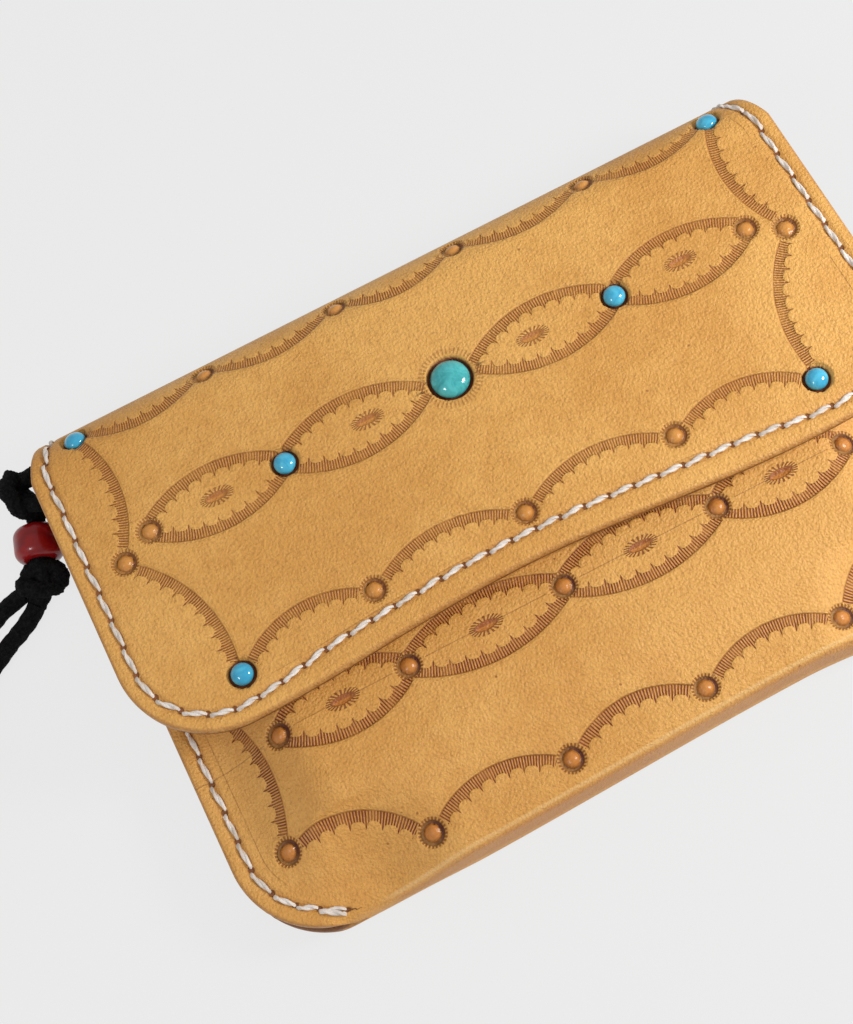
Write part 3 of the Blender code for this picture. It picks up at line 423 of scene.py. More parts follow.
def makeSheet(name, outline, xLines, qLines, place, thickness, pattern=None, seams=(), cuts=((), ()),
              base=0.0):
    shape = sheetEdge["thin" if thickness < sheetEdge["thinBelow"] else "thick"]
    rim = [(inset, depth + thickness if depth < 0 else depth) for inset, depth in shape[:-1]]
    rim.append((shape[-1][0], thickness))
    border = filled(outline, sheetEdge["step"])
    bm = bmesh.new()
    bmesh.ops.create_grid(bm, x_segments=len(xLines) - 1, y_segments=len(qLines) - 1, size=0.5)
    bm.verts.ensure_lookup_table()
    raw = np.array([v.co for v in bm.verts])
    column = np.rint((raw[:, 0] + 0.5) * (len(xLines) - 1)).astype(int)
    row = np.rint((raw[:, 1] + 0.5) * (len(qLines) - 1)).astype(int)
    flat = np.stack([np.array(xLines)[column], np.array(qLines)[row]], 1)
    if pattern:
        _, rings, settings, _ = pattern
        flat = onCircles(flat, rings, [(tooling["ringDome"], tooling["ringGroove"])] * len(rings))
        flat = onCircles(flat, [c for c, r in settings],
                         [(r + stones["rim"], r + stones["rim"] + 0.35) for c, r in settings])
    step = min(xLines[1] - xLines[0], abs(np.diff(qLines)).min())
    inside = nearOutline(flat, border)[0]
    for vertex, point in zip(bm.verts, flat):
        vertex.co = (*point, 0.0)
    outer = inside < rim[0][0] + 0.35 * step
    bmesh.ops.delete(bm, geom=[v for v, off in zip(bm.verts, outer) if off], context="VERTS")
    loop = [e for e in bm.edges if e.is_boundary]
    verts = list({v for e in loop for v in e.verts})
    for level, (inset, depth) in enumerate(rim):
        if level:
            made = bmesh.ops.extrude_edge_only(bm, edges=loop)["geom"]
            verts = [g for g in made if isinstance(g, bmesh.types.BMVert)]
            loop = [g for g in made if isinstance(g, bmesh.types.BMEdge) and g.is_boundary]
        _, spot, outward, _ = nearOutline(np.array([v.co[:2] for v in verts]), border)
        for vertex, point in zip(verts, spot - outward * inset):
            vertex.co = (*point, -depth)
    under = bmesh.ops.edgeloop_fill(bm, edges=loop)["faces"]
    for face in under:
        face.material_index = 1
    for normal, values in zip(((1, 0, 0), (0, 1, 0)), cuts):
        for value in values:
            faces = [f for f in bm.faces if f.material_index == 1]
            geom = list({g for f in faces for g in (*f.verts, *f.edges)}) + faces
            bmesh.ops.bisect_plane(bm, geom=geom, plane_co=Vector(normal) * value, plane_no=normal,
                                   dist=1e-5)
    bmesh.ops.recalc_face_normals(bm, faces=bm.faces)
    for face in bm.faces:
        face.material_index = 0
        face.smooth = True
    return dressSheet(name, meshOf(name, bm), border, place, pattern, seams, base, rim[0][0])


# Presses the tools in, sets the flat sheet out on the wallet and keeps what its material reads
def dressSheet(name, mesh, border, place, pattern, seams, base, rimInset):
    co = np.zeros(len(mesh.vertices) * 3, np.float32)
    mesh.vertices.foreach_get("co", co)
    co = co.reshape(-1, 3).astype(float)
    flat, depth = co[:, :2], -co[:, 2]
    inside = nearOutline(flat, border)[0]
    top = depth < 0.01
    edge = np.where(top, np.clip(inside, 0.0, 12.0), -depth)
    band, mark, lens, seam = (np.zeros((len(flat), 3)) for _ in range(4))
    press = np.zeros(len(flat))
    if pattern:
        bands, rings, settings, lenses = pattern
        band = bandCoordinates(flat, bands)
        press = toolDepth(flat, band, pattern)
        centres = list(rings) + [c for c, r in settings]
        kinds = np.array([1.0] * len(rings) + [3.0 if r == stones["big"] else 2.0 for c, r in settings])
        reaches = np.where(kinds == 3.0, tooling["bigReach"], tooling["markReach"])
        offset, gap, best = nearestCentre(flat, centres)
        mark = np.concatenate([offset, np.where(gap < reaches[best], kinds[best], 0.0)[:, None]], 1)
        offset, gap, _ = nearestCentre(flat, lenses)
        on = (np.abs(offset) < tooling["lensReach"]).all(1)
        lens = np.concatenate([offset, on[:, None].astype(float)], 1)
    seam[:, 1] = 9.0
    for path in seams:
        line = filled(path, sheetEdge["seamStep"], closed=False)
        across, _, _, along = nearOutline(flat, line, closed=False)
        real, felt = sewnLengths(line)
        along = np.interp(along, real, felt)
        pitch = felt[-1] / round(felt[-1] / stitching["pitch"])
        near = np.abs(across) < np.minimum(stitching["reachAside"], np.abs(seam[:, 1]))
        phase = along / pitch * stitching["pitch"]
        seam[near] = np.stack([phase[near], across[near], np.ones(near.sum())], 1)
        press += stitching["sink"] * smoothStep((stitching["grooveHalf"] - np.abs(across)) / 0.8)
    press = np.where(top, press, 0.0) * smoothStep((inside - rimInset) / 0.5 + 0.001)
    x, y, z = place(flat[:, 0], flat[:, 1], depth + press + base)
    mesh.vertices.foreach_set("co", (np.stack([x, y, z], 1) * mm).astype(np.float32).ravel())
    for label, values in (("band", band), ("mark", mark), ("lens", lens), ("seam", seam), ("edge", edge)):
        kind, field = ("FLOAT", "value") if label == "edge" else ("FLOAT_VECTOR", "vector")
        layer = mesh.attributes.new(label, kind, "POINT")
        layer.data.foreach_set(field, values.astype(np.float32).ravel())
    mesh.update()
    return placed(name, mesh)


# Node trees written as expressions

class Wire:
    def __init__(self, tree, socket):
        self.tree, self.socket = tree, socket

    def add(self, kind, settings=None, inputs=None, output=0):
        node = self.tree.nodes.new(kind)
        for key, value in (settings or {}).items():
            setattr(node, key, value)
        self.feed(node, inputs or {})
        return Wire(self.tree, node.outputs[output])

    def feed(self, node, inputs):
        for key, value in inputs.items():
            if isinstance(value, Wire):
                self.tree.links.new(value.socket, node.inputs[key])
            else:
                node.inputs[key].default_value = value

    def maths(self, operation, *values):
        return self.add("ShaderNodeMath", {"operation": operation}, dict(enumerate((self, *values))))

    def __add__(self, other):
        return self.maths("ADD", other)

    def __mul__(self, other):
        return self.maths("MULTIPLY", other)

    def __sub__(self, other):
        return self.maths("SUBTRACT", other)

    def __truediv__(self, other):
        return self.maths("DIVIDE", other)

    def __rsub__(self, other):
        return (self * -1.0) + other

    __radd__ = __add__
    __rmul__ = __mul__

    def sine(self):
        return self.maths("SINE")

    def fraction(self):
        return self.maths("FRACT")

    def size(self):
        return self.maths("ABSOLUTE")

    def power(self, exponent):
        return self.maths("POWER", exponent)

    def higher(self, other):
        return self.maths("MAXIMUM", other)

    # 0 below low, 1 above high, smooth between; low may be the larger
    def ramp(self, low, high):
        return self.add("ShaderNodeMapRange", {"interpolation_type": "SMOOTHSTEP"},
                        {"Value": self, "From Min": low, "From Max": high})

    # Colour that is first where this is 0 and second where it is 1
    def blend(self, first, second):
        return self.add("ShaderNodeMix", {"data_type": "RGBA"}, {0: self, 6: first, 7: second}, 2)


def startMaterial(name):
    material = bpy.data.materials.new(name)
    material.use_nodes = True
    return material, Wire(material.node_tree, None)


def objectPlace(start):
    return start.add("ShaderNodeTexCoord", {}, {}, "Object")


# Puts values and links on the shader's own sockets; a height in millimetres becomes a bump
def finishMaterial(material, start, sockets, height=None, strength=1.0):
    if height is not None:
        bump = {"Strength": strength, "Distance": mm, "Height": height}
        sockets["Normal"] = start.add("ShaderNodeBump", {}, bump)
    start.feed(start.tree.nodes["Principled BSDF"], sockets)
    return material


# A colour as the screen shows it, 0 to 255, as the shader's own numbers
def colour(red, green, blue):
    return tuple(((c / 255 + 0.055) / 1.055) ** 2.4 if c > 10 else c / 255 / 12.92
                 for c in (red, green, blue)) + (1.0,)


def attribute(start, name, output="Vector"):
    return start.add("ShaderNodeAttribute", {"attribute_name": name}, {}, output)


def parts(wire):
    first = wire.add("ShaderNodeSeparateXYZ", {}, {0: wire})
    return [Wire(wire.tree, socket) for socket in first.socket.node.outputs]


def noiseOf(start, place, scale, detail=2.0, roughness=0.5, distortion=0.0):
    return start.add("ShaderNodeTexNoise", {}, {"Vector": place, "Scale": scale, "Detail": detail,
                                                "Roughness": roughness, "Distortion": distortion})


leatherLook = {
    "light": (231, 174, 92), "dark": (214, 154, 74), "blush": (210, 143, 64), "pore": (150, 90, 40),
    "edge": (160, 102, 48), "rim": (112, 66, 32), "underside": (200, 150, 88), "line": (128, 76, 36),
    "strip": (176, 110, 50), "crest": (244, 206, 146), "stain": (170, 104, 40), "nap": (184, 132, 74),
    "grainScale": 2300.0, "grainDeep": 0.26, "creaseScale": 900.0, "creaseDeep": 0.22, "waveDeep": 0.4,
    "cloudScale": 30.0, "mottleScale": 300.0, "blushScale": 70.0, "poreScale": 150.0, "fibreScale": 700.0,
    "burnish": 0.42, "wallStain": 0.6, "footStain": 0.85, "roughness": 0.5,
}
flapInk = {"stroke": (142, 70, 26), "ring": (196, 122, 54), "groove": (112, 54, 22),
           "strength": 0.9, "stain": 0.0}
shellInk = {"stroke": (122, 46, 16), "ring": (184, 102, 42), "groove": (86, 32, 13),
            "strength": 1.0, "stain": 0.12}


def leatherMaterial(name, ink):
    look = leatherLook
    material, start = startMaterial(name)
    place = objectPlace(start)
    edge = attribute(start, "edge", "Fac")
    cloud = noiseOf(start, place, look["cloudScale"], 2.0)
    mottle = noiseOf(start, place, look["mottleScale"], 3.0, 0.6)
    grain = noiseOf(start, place, look["grainScale"], 2.0, 0.6)
    cells = start.add("ShaderNodeTexVoronoi", {"feature": "F1"},
                      {"Vector": place, "Scale": look["grainScale"] * 0.8})
    stretched = start.add("ShaderNodeMapping", {"vector_type": "POINT"},
                          {"Vector": place, "Rotation": (0.0, 0.0, 0.35), "Scale": (1.0, 0.28, 0.28)})
    crease = noiseOf(start, stretched, look["creaseScale"], 3.0, 0.6, 0.4)
    shade = (cloud.ramp(0.3, 0.7) * 0.65 + mottle.ramp(0.25, 0.75) * 0.35).ramp(0.1, 0.9)
    skin = shade.blend(colour(*look["dark"]), colour(*look["light"]))
    blush = noiseOf(start, place, look["blushScale"], 1.0).ramp(0.58, 0.78) * 0.25
    skin = blush.blend(skin, colour(*look["blush"]))
    skin = (grain.ramp(0.52, 0.3) * 0.2 + cells.ramp(0.35, 0.8) * 0.12).blend(skin, colour(*look["pore"]))
    skin = (cloud.ramp(0.2, 0.6) * ink["stain"]).blend(skin, colour(*look["stain"]))
    pores = start.add("ShaderNodeTexVoronoi", {"feature": "F1"},
                      {"Vector": place, "Scale": look["poreScale"]})
    skin = (pores.ramp(0.045, 0.025) * 0.8).blend(skin, colour(*look["pore"]))
    height = grain * look["grainDeep"] + cells * (look["grainDeep"] * -0.5)
    height = height + mottle * (look["waveDeep"] * 0.3)
    height = height + crease * look["creaseDeep"] * cloud.ramp(0.4, 0.65)
    skin, height, gloss = inkTooling(start, skin, height, ink, place, edge)
    burnish = edge.ramp(0.8, 0.0)
    wall = edge.ramp(0.0, -0.3)
    foot = edge.ramp(-0.8, -1.4)
    fibres = noiseOf(start, place, look["fibreScale"], 3.0, 0.7).ramp(0.3, 0.7)
    wallSkin = fibres.blend(colour(*look["edge"]), colour(*look["underside"]))
    skin = (burnish * look["burnish"]).blend(skin, colour(*look["edge"]))
    skin = (wall * look["wallStain"]).blend(skin, wallSkin)
    skin = (foot * look["footStain"]).blend(skin, colour(*look["rim"]))
    rough = grain.ramp(0.2, 0.8) * 0.14 + (look["roughness"] - 0.07) - burnish * 0.08
    rough = rough * (1.0 - gloss * 0.5)
    return finishMaterial(material, start, {"Base Color": skin, "Roughness": rough,
                                            "Specular IOR Level": 0.4}, height)


# Stains and presses the strokes, rings, lenses, sewing holes and scribed lines
def inkTooling(start, skin, height, ink, place, edge):
    t = tooling
    s, r, on = parts(attribute(start, "band"))
    on = on.ramp(0.9, 0.99)
    x, y, kind = parts(attribute(start, "mark"))
    away = (x * x + y * y).power(0.5)
    angle = y.maths("ARCTAN2", x)
    isRing = kind.ramp(0.6, 0.9) * kind.ramp(1.9, 1.3)
    isStone = kind.ramp(1.6, 1.9) * kind.ramp(2.9, 2.3)
    isBig = kind.ramp(2.6, 2.9)
    wobble = noiseOf(start, place, 330.0, 1.0)
    jitter = noiseOf(start, place, 900.0, 1.0)
    turn = (s / t["cuspPitch"]).fraction()
    out = (turn * 2.0 - 1.0).size().power(4.0)
    reach = out * (t["strokeLong"] - t["strokeShort"]) + t["strokeShort"] + (wobble - 0.5) * 0.6
    comb = (s * (math.tau * t["strokes"] / t["cuspPitch"]) + (jitter - 0.5) * 1.2 + math.pi / 2).sine()
    stroke = comb.ramp(-0.2, 0.5)
    besideRing = 1.0 - isRing * away.ramp(2.35, 2.2)
    field = on * r.ramp(-0.03, 0.1) * (reach - r).ramp(-0.03, 0.15) * besideRing
    outline = on * (r - 0.04).size().ramp(0.2, 0.06) * besideRing
    worn = wobble.ramp(0.25, 0.6) * 0.35 + 0.65
    marks = (field * stroke).higher(outline * 0.45) * worn
    tint = field * 0.3
    shadedSide = (angle - 0.1).maths("COSINE") * 0.5 + 0.5               # painted shade: one side of each ring's groove is darker, as if the light falls from the other side
    groove = isRing * away.ramp(1.4, 1.6) * away.ramp(2.2, 1.95)
    dome = isRing * away.ramp(1.6, 1.4)
    ticks = (angle * t["ringTicks"]).sine().ramp(-0.4, 0.3) * isRing
    ticks = ticks * away.ramp(2.0, 2.1) * away.ramp(2.65, 2.4)
    pit = isStone * away.ramp(stones["small"] + 0.6, stones["small"] + 0.42)
    bigRim = stones["big"] + stones["rim"]
    bigPit = isBig * away.ramp(bigRim + 0.4, bigRim + 0.05)
    rays = (angle * t["stoneRays"]).sine().ramp(-0.1, 0.6) * isBig * away.ramp(bigRim + 0.5, bigRim + 0.8)
    rays = rays * away.ramp(bigRim + 2.1, bigRim + 1.6)
    lx, ly, lensOn = parts(attribute(start, "lens"))
    lensOn = lensOn.ramp(0.9, 0.99)
    longHalf, shortHalf = t["lens"]
    across = (lx / longHalf).power(2.0) + (ly / shortHalf).power(2.0)
    bowl = lensOn * across.ramp(1.1, 0.8)
    shade = bowl * ly.ramp(-0.1, 0.25)                             # the bowl's far half lies in shadow
    brim = lensOn * (across - 1.0).size().ramp(0.35, 0.1)
    wide = (lx / (longHalf + 1.05)).power(2.0) + (ly / (shortHalf + 0.9)).power(2.0)
    lensAngle = (ly * 2.2).maths("ARCTAN2", lx)
    lensRays = (lensAngle * t["lensRays"]).sine().ramp(-0.1, 0.5) * lensOn
    lensRays = lensRays * wide.ramp(1.05, 0.9) * across.ramp(1.0, 1.3)
    strength = ink["strength"]
    dark = marks.higher(ticks * 0.7).higher(rays * 0.4)
    dark = dark.higher(lensRays * 0.8).higher(brim * 0.7).higher(shade * 0.6) * strength
    rimOfDome = isRing * away.ramp(1.0, 1.5) * away.ramp(1.7, 1.55)
    skin = (tint.higher(bowl * 0.6).higher(dome * 0.6) * strength).blend(skin, colour(*ink["ring"]))
    skin = dark.blend(skin, colour(*ink["stroke"]))
    # groove ink with painted shade on one side of each ring's groove; also the dark pits round the stones
    deep = (groove * (shadedSide * 0.5 + 0.5)).higher(rimOfDome * 0.45) * strength
    deep = deep.higher(pit * 0.97).higher(bigPit)
    skin = deep.blend(skin, colour(*ink["groove"]))
    along, sideways, sewn = parts(attribute(start, "seam"))
    sewn = sewn.ramp(0.9, 0.99)
    toHole = ((along / stitching["pitch"] + 0.5).fraction() - 0.5).size() * stitching["pitch"]
    hole = sewn * (toHole * toHole + sideways * sideways).power(0.5).ramp(0.7, 0.4)
    skin = (hole * 0.95).blend(skin, colour(*ink["groove"]))
    skin = (sewn * sideways.size().ramp(1.1, 0.6) * 0.3).blend(skin, colour(*leatherLook["edge"]))
    line = (edge - 5.7).size().ramp(0.14, 0.05) * noiseOf(start, place, 60.0, 1.0).ramp(0.45, 0.6)
    skin = (line * 0.4).blend(skin, colour(*leatherLook["line"]))
    if ink is shellInk:
        objectX, objectY, objectZ = parts(place)
        scribe = (objectY - tooling["frontRowY"] * mm).size().ramp(0.14 * mm, 0.05 * mm)
        skin = (scribe * (1.0 - isRing) * (1.0 - bowl) * 0.5).blend(skin, colour(*leatherLook["line"]))
        # painted light on the bottom fold: painted shade on the wall that turns down below the crest, and a
        # painted highlight along the crest
        run = objectX.ramp(wallet["riseStart"] * mm, (wallet["riseStart"] + wallet["riseRun"]) * mm)
        past = (run * wallet["bottomRise"] + wallet["bottomY"] + 0.55) * mm - objectY
        front = objectZ.ramp(4.0 * mm, 6.0 * mm) * edge.ramp(4.5, 8.0)
        strip = past.ramp(0.0, 0.45 * mm) * front
        crest = (past + 0.35 * mm).size().ramp(0.45 * mm, 0.1 * mm) * front
        skin = (strip * 0.5).blend(skin, colour(*leatherLook["strip"]))
        skin = (crest * 0.35).blend(skin, colour(*leatherLook["crest"]))
    pressed = marks * 0.28 + tint * 0.3 + groove * 0.25 + hole * 0.35
    pressed = pressed + ticks * 0.15 + rays * 0.1 + lensRays * 0.15
    raised = dome * (1.0 - (away / 1.5).power(2.0)) * 0.3
    return skin, height * (1.0 - dome * 0.7) + raised - pressed - line * 0.05, dome.higher(bowl * 0.5)


def plainLeather(name):
    look = leatherLook
    material, start = startMaterial(name)
    place = objectPlace(start)
    cloud = noiseOf(start, place, 60.0, 3.0)
    grain = noiseOf(start, place, 1500.0, 3.0, 0.65)
    skin = cloud.ramp(0.3, 0.7).blend(colour(*look["underside"]), colour(*look["nap"]))
    skin = (grain.ramp(0.55, 0.8) * 0.25).blend(skin, colour(*look["pore"]))
    return finishMaterial(material, start, {"Base Color": skin, "Roughness": 0.72},
                          grain * 0.12 + cloud * 0.3)


otherLooks = {
    "thread": {"pale": (232, 224, 216), "dirt": (202, 190, 178), "fibre": (176, 164, 152), "roughness": 0.6},
    "nickel": {"pale": (216, 214, 210), "dull": (188, 184, 178), "roughness": 0.12},
    "suede": {"dark": (0.0035, 0.0035, 0.004, 1.0), "nap": (0.022, 0.021, 0.021, 1.0), "roughness": 0.95},
    "bead": {"dark": (122, 6, 10), "pale": (148, 14, 16), "roughness": 0.32, "coat": 0.35},
    "blueStone": {"pale": (84, 190, 220), "deep": (48, 158, 198), "speck": None},
    "greenStone": {"pale": (84, 194, 196), "deep": (44, 150, 154), "speck": (150, 120, 104)},
    "stoneRoughness": 0.14, "stoneCoat": 0.4,
}


def threadMaterial():
    look = otherLooks["thread"]
    material, start = startMaterial("waxedThread")
    place = objectPlace(start)
    fibre = noiseOf(start, place, 2600.0, 2.0, 0.6)
    dirt = noiseOf(start, place, 300.0, 2.0)
    skin = dirt.ramp(0.35, 0.75).blend(colour(*look["pale"]), colour(*look["dirt"]))
    skin = (fibre.ramp(0.5, 0.75) * 0.35).blend(skin, colour(*look["fibre"]))
    return finishMaterial(material, start, {"Base Color": skin, "Roughness": look["roughness"]},
                          fibre * 0.15, 0.8)


def stoneMaterial(name, look):
    material, start = startMaterial(name)
    place = objectPlace(start)
    cloud = noiseOf(start, place, 420.0, 3.0, 0.6, 0.6)
    skin = cloud.ramp(0.3, 0.72).blend(colour(*look["deep"]), colour(*look["pale"]))
    if look["speck"]:
        matrix = noiseOf(start, place, 520.0, 2.0, 0.5, 1.0).ramp(0.7, 0.76)
        skin = (matrix * 0.7).blend(skin, colour(*look["speck"]))
    return finishMaterial(material, start, {"Base Color": skin, "Roughness": otherLooks["stoneRoughness"],
                                            "Coat Weight": otherLooks["stoneCoat"],
                                            "Coat Roughness": 0.05}, cloud * 0.1, 0.3)


def metalMaterial():
    look = otherLooks["nickel"]
    material, start = startMaterial("nickelPlate")
    place = objectPlace(start)
    smudge = noiseOf(start, place, 500.0, 3.0)
    skin = smudge.ramp(0.3, 0.7).blend(colour(*look["pale"]), colour(*look["dull"]))
    return finishMaterial(material, start, {"Base Color": skin, "Metallic": 1.0,
                                            "Roughness": smudge * 0.2 + look["roughness"]})


def suedeMaterial():
    look = otherLooks["suede"]
    material, start = startMaterial("blackSuede")
    place = objectPlace(start)
    nap = noiseOf(start, place, 1500.0, 4.0, 0.75)
    skin = nap.ramp(0.35, 0.8).blend(look["dark"], look["nap"])
    return finishMaterial(material, start, {"Base Color": skin, "Roughness": look["roughness"],
                                            "Specular IOR Level": 0.15}, nap * 0.8)


def beadMaterial():
    look = otherLooks["bead"]
    material, start = startMaterial("redGlass")
    place = objectPlace(start)
    swirl = noiseOf(start, place, 180.0, 2.0, 0.5, 1.5)
    skin = swirl.ramp(0.3, 0.7).blend(colour(*look["dark"]), colour(*look["pale"]))
    return finishMaterial(material, start, {"Base Color": skin, "Roughness": look["roughness"],
                                            "Specular IOR Level": 0.3, "Coat Weight": look["coat"],
                                            "Coat Roughness": 0.03})


# Finishing a piece

def finishPiece(name, bm, material, slot):
    bmesh.ops.recalc_face_normals(bm, faces=bm.faces)
    mesh = meshOf(name, bm)
    mesh.shade_smooth()
    mesh.set_sharp_from_angle(angle=math.radians(60.0))
    return paint(placed(name, mesh), material)


def paint(piece, material):
    piece.data.materials.clear()
    piece.data.materials.append(material)
    return piece


# A profile of (radius, height) points spun about Z
def turnedPiece(profile, steps):
    bm = bmesh.new()
    verts = [bm.verts.new((r, 0.0, h)) for r, h in profile]
    edges = [bm.edges.new(pair) for pair in zip(verts, verts[1:])]
    bmesh.ops.spin(bm, geom=verts + edges, cent=(0, 0, 0), axis=(0, 0, 1), angle=math.tau, steps=steps,
                   use_merge=True)
    bmesh.ops.remove_doubles(bm, verts=bm.verts, dist=1e-4)
    return bm


def scaled(bm, matrix=Matrix()):
    bmesh.ops.transform(bm, matrix=Matrix.Diagonal((mm, mm, mm, 1.0)) @ matrix, verts=bm.verts)
    return bm


def stand(bm, origin, normal):
    matrix = Vector(normal).to_track_quat("Z", "Y").to_matrix().to_4x4()
    matrix.translation = Vector(origin)
    return scaled(bm, matrix)


# Camera, floor and light

view = {
    "rows": ((0.889, -0.4422, -0.11894), (0.45493, 0.82324, 0.33958), (-0.05224, -0.356, 0.93302)),
    "place": (-31.17, -107.85, 310.34), "focal": 1800.0, "height": 1024.0, "sensor": 36.0,
    "paper": 0.83, "shadow": 0.08, "world": 0.5, "keyPlace": (0.26, -0.09, 0.2), "key": 0.44,
    "fillPlace": (-0.36, -0.16, 0.4), "fill": 0.13, "boxSize": 0.11, "floorHalf": 4.0, "floorZ": -0.0002,
}


def makeCamera():
    camera = bpy.data.cameras.new("camera")
    camera.sensor_fit = "VERTICAL"
    camera.sensor_height = camera.sensor_width = view["sensor"]
    camera.lens = view["focal"] / view["height"] * view["sensor"]
    camera.clip_start, camera.clip_end = 0.01, 20.0
    thing = placed("camera", camera)
    matrix = Matrix([Vector(row).normalized() for row in view["rows"]]).transposed().to_4x4()
    matrix.translation = Vector(view["place"]) * mm
    thing.matrix_world = matrix
    bpy.context.scene.camera = thing


# A soft disk aimed at the wallet; strength is what it adds to a flat white sheet in the middle
def areaLight(name, place, strength):
    toward = Vector(place)
    lamp = bpy.data.lights.new(name, "AREA")
    lamp.shape = "DISK"
    lamp.size = view["boxSize"]
    lamp.energy = strength * math.pi ** 2 * toward.length ** 3 / toward.z
    thing = placed(name, lamp)
    thing.location = toward
    thing.rotation_mode = "QUATERNION"
    thing.rotation_quaternion = toward.to_track_quat("Z", "Y")


def makeStudio():
    world = bpy.data.worlds.new("studio")
    world.use_nodes = True
    Wire(world.node_tree, None).feed(world.node_tree.nodes["Background"],
                                     {"Color": (1.0, 1.0, 1.0, 1.0), "Strength": view["world"]})
    bpy.context.scene.world = world
    areaLight("rightBox", view["keyPlace"], view["key"])
    areaLight("leftBox", view["fillPlace"], view["fill"])
    bm = bmesh.new()
    bmesh.ops.create_grid(bm, x_segments=2, y_segments=2, size=view["floorHalf"])
    floor = placed("floor", meshOf("floor", bm))
    floor.location.z = view["floorZ"]
    material, start = startMaterial("paleFloor")
    paper = (view["paper"], view["paper"], view["paper"], 1.0)
    finishMaterial(material, start, {"Base Color": paper, "Roughness": 0.9, "Specular IOR Level": 0.0})
    path = start.add("ShaderNodeLightPath", {}, {}, "Is Camera Ray")
    for ray in ("Is Glossy Ray", "Is Transmission Ray"):
        path = path.higher(start.add("ShaderNodeLightPath", {}, {}, ray))
    glow = start.add("ShaderNodeEmission", {}, {"Color": paper})
    surface = Wire(start.tree, start.tree.nodes["Principled BSDF"].outputs[0])
    mixed = start.add("ShaderNodeMixShader", {}, {0: path * (1.0 - view["shadow"]), 1: surface, 2: glow})
    start.feed(start.tree.nodes["Material Output"], {"Surface": mixed})
    floor.data.materials.append(material)


bpy.context.scene.view_settings.view_transform = "Standard"
makeCamera()
makeStudio()
print("studio ready")

# The lace: ring, hitch, bead, knot and two tails

lace = {
    "r": 1.7, "gap": 0.3, "eyelet": (-67.2, 39.2), "ringR": 5.6, "wire": 0.8, "ringZ": 9.0, "sheetZ": 7.0,
    "heading": (-0.77, 0.64), "beadR": 4.6, "beadHalf": 3.4, "bore": 2.0, "bead": (-80.5, 38.2, 4.65),
    "beadHeading": (0.27, 0.963), "knot": (-82.0, 31.0, 3.5), "fuzz": 0.3, "voxel": 0.3,
    "tails": {
        "long": [(-87.0, 31.6, 2.2), (-89.6, 31.2, 1.8), (-92.8, 30.2, 1.75), (-96.6, 28.4, 1.75),
                 (-100.4, 25.7, 1.75), (-103.9, 22.3, 1.75), (-107.1, 18.2, 1.75), (-109.8, 13.6, 1.75),
                 (-112.2, 8.7, 1.75), (-114.5, 3.6, 1.75), (-117.0, -1.4, 1.75), (-119.9, -6.1, 1.75),
                 (-123.4, -10.4, 1.75), (-127.5, -14.0, 1.75), (-132.1, -16.7, 1.75)],
        "short": [(-85.8, 28.4, 2.1), (-87.7, 27.0, 1.8), (-90.4, 25.4, 1.75), (-94.0, 23.5, 1.75),
                  (-97.8, 21.4, 1.75), (-101.4, 18.8, 1.75), (-104.4, 15.4, 1.75), (-106.7, 11.3, 1.75),
                  (-108.5, 6.9, 1.75), (-110.0, 2.4, 1.75), (-111.8, -2.0, 1.75), (-113.8, -6.2, 1.75),
                  (-116.2, -10.0, 1.75), (-118.4, -12.5, 1.75), (-120.4, -14.2, 1.75)],
    },
    # points of the hitch count from the ring's outer side, those of the knot from its middle
    "hitchEnd": [(-3.6, 2.6, -0.2), (-5.6, 0.0, -1.2), (-4.4, -2.6, -0.4)],
    "hitchWrap": [(-3.4, 4.0, 1.4), (-5.2, 2.0, 2.4), (-5.0, -1.0, 1.0), (-3.4, -2.2, -2.4),
                  (-3.0, 0.2, -3.8), (-4.4, 3.0, -2.8), (-3.4, 4.0, 1.0)],
    "hitchMiddle": (-4.6, -1.0, -0.4),
    "knotTurn": [(-3.4, 2.6, 0.2), (-0.4, 3.0, 1.3), (2.6, 1.4, 0.4), (1.6, -1.2, -0.6),
                 (-1.6, -1.0, 0.9), (-4.2, 0.8, 1.0), (-2.6, 2.4, -0.9), (0.4, 1.8, -0.6)],
    "step": 0.7, "tailStep": 0.8, "nap": 0.9, "beadRound": 2.1,
}


# A smooth curve through the points, with a point about every step
def smoothPath(points, step):
    p = [Vector(q) for q in points]
    p = [2 * p[0] - p[1]] + p + [2 * p[-1] - p[-2]]
    dense = []
    for a, b, c, d in zip(p, p[1:], p[2:], p[3:]):
        for i in range(24):
            t = i / 24
            dense.append(0.5 * (2 * b + (c - a) * t + (2 * a - 5 * b + 4 * c - d) * t * t +
                                (3 * b - a - 3 * c + d) * t ** 3))
    dense.append(p[-2])
    kept, run = [dense[0]], 0.0
    for a, b in zip(dense, dense[1:]):
        run += (b - a).length
        if run >= step:
            kept.append(b)
            run = 0.0
    if run > 0.3 * step:
        kept.append(dense[-1])
    else:
        kept[-1] = dense[-1]
    return kept


# A circle carried along a path, an extrusion at each point
def tubeAlong(points, radius, sides=14):
    bm = bmesh.new()
    first = bmesh.ops.create_circle(bm, cap_ends=True, segments=sides, radius=radius)["verts"]
    rotation = (points[1] - points[0]).to_track_quat("Z", "Y").to_matrix()
    bmesh.ops.transform(bm, matrix=Matrix.Translation(points[0]) @ rotation.to_4x4(), verts=first)
    face = bm.faces[:][0]
    before = (points[1] - points[0]).normalized()
    for i in range(1, len(points)):
        after = (points[min(i + 1, len(points) - 1)] - points[i - 1]).normalized()
        made = bmesh.ops.extrude_face_region(bm, geom=[face])["geom"]
        verts = [g for g in made if isinstance(g, bmesh.types.BMVert)]
        face = [g for g in made if isinstance(g, bmesh.types.BMFace)][0]
        turn = before.rotation_difference(after).to_matrix().to_4x4()
        move = Matrix.Translation(points[i]) @ turn @ Matrix.Translation(-points[i - 1])
        bmesh.ops.transform(bm, matrix=move, verts=verts)
        before = after
    return bm


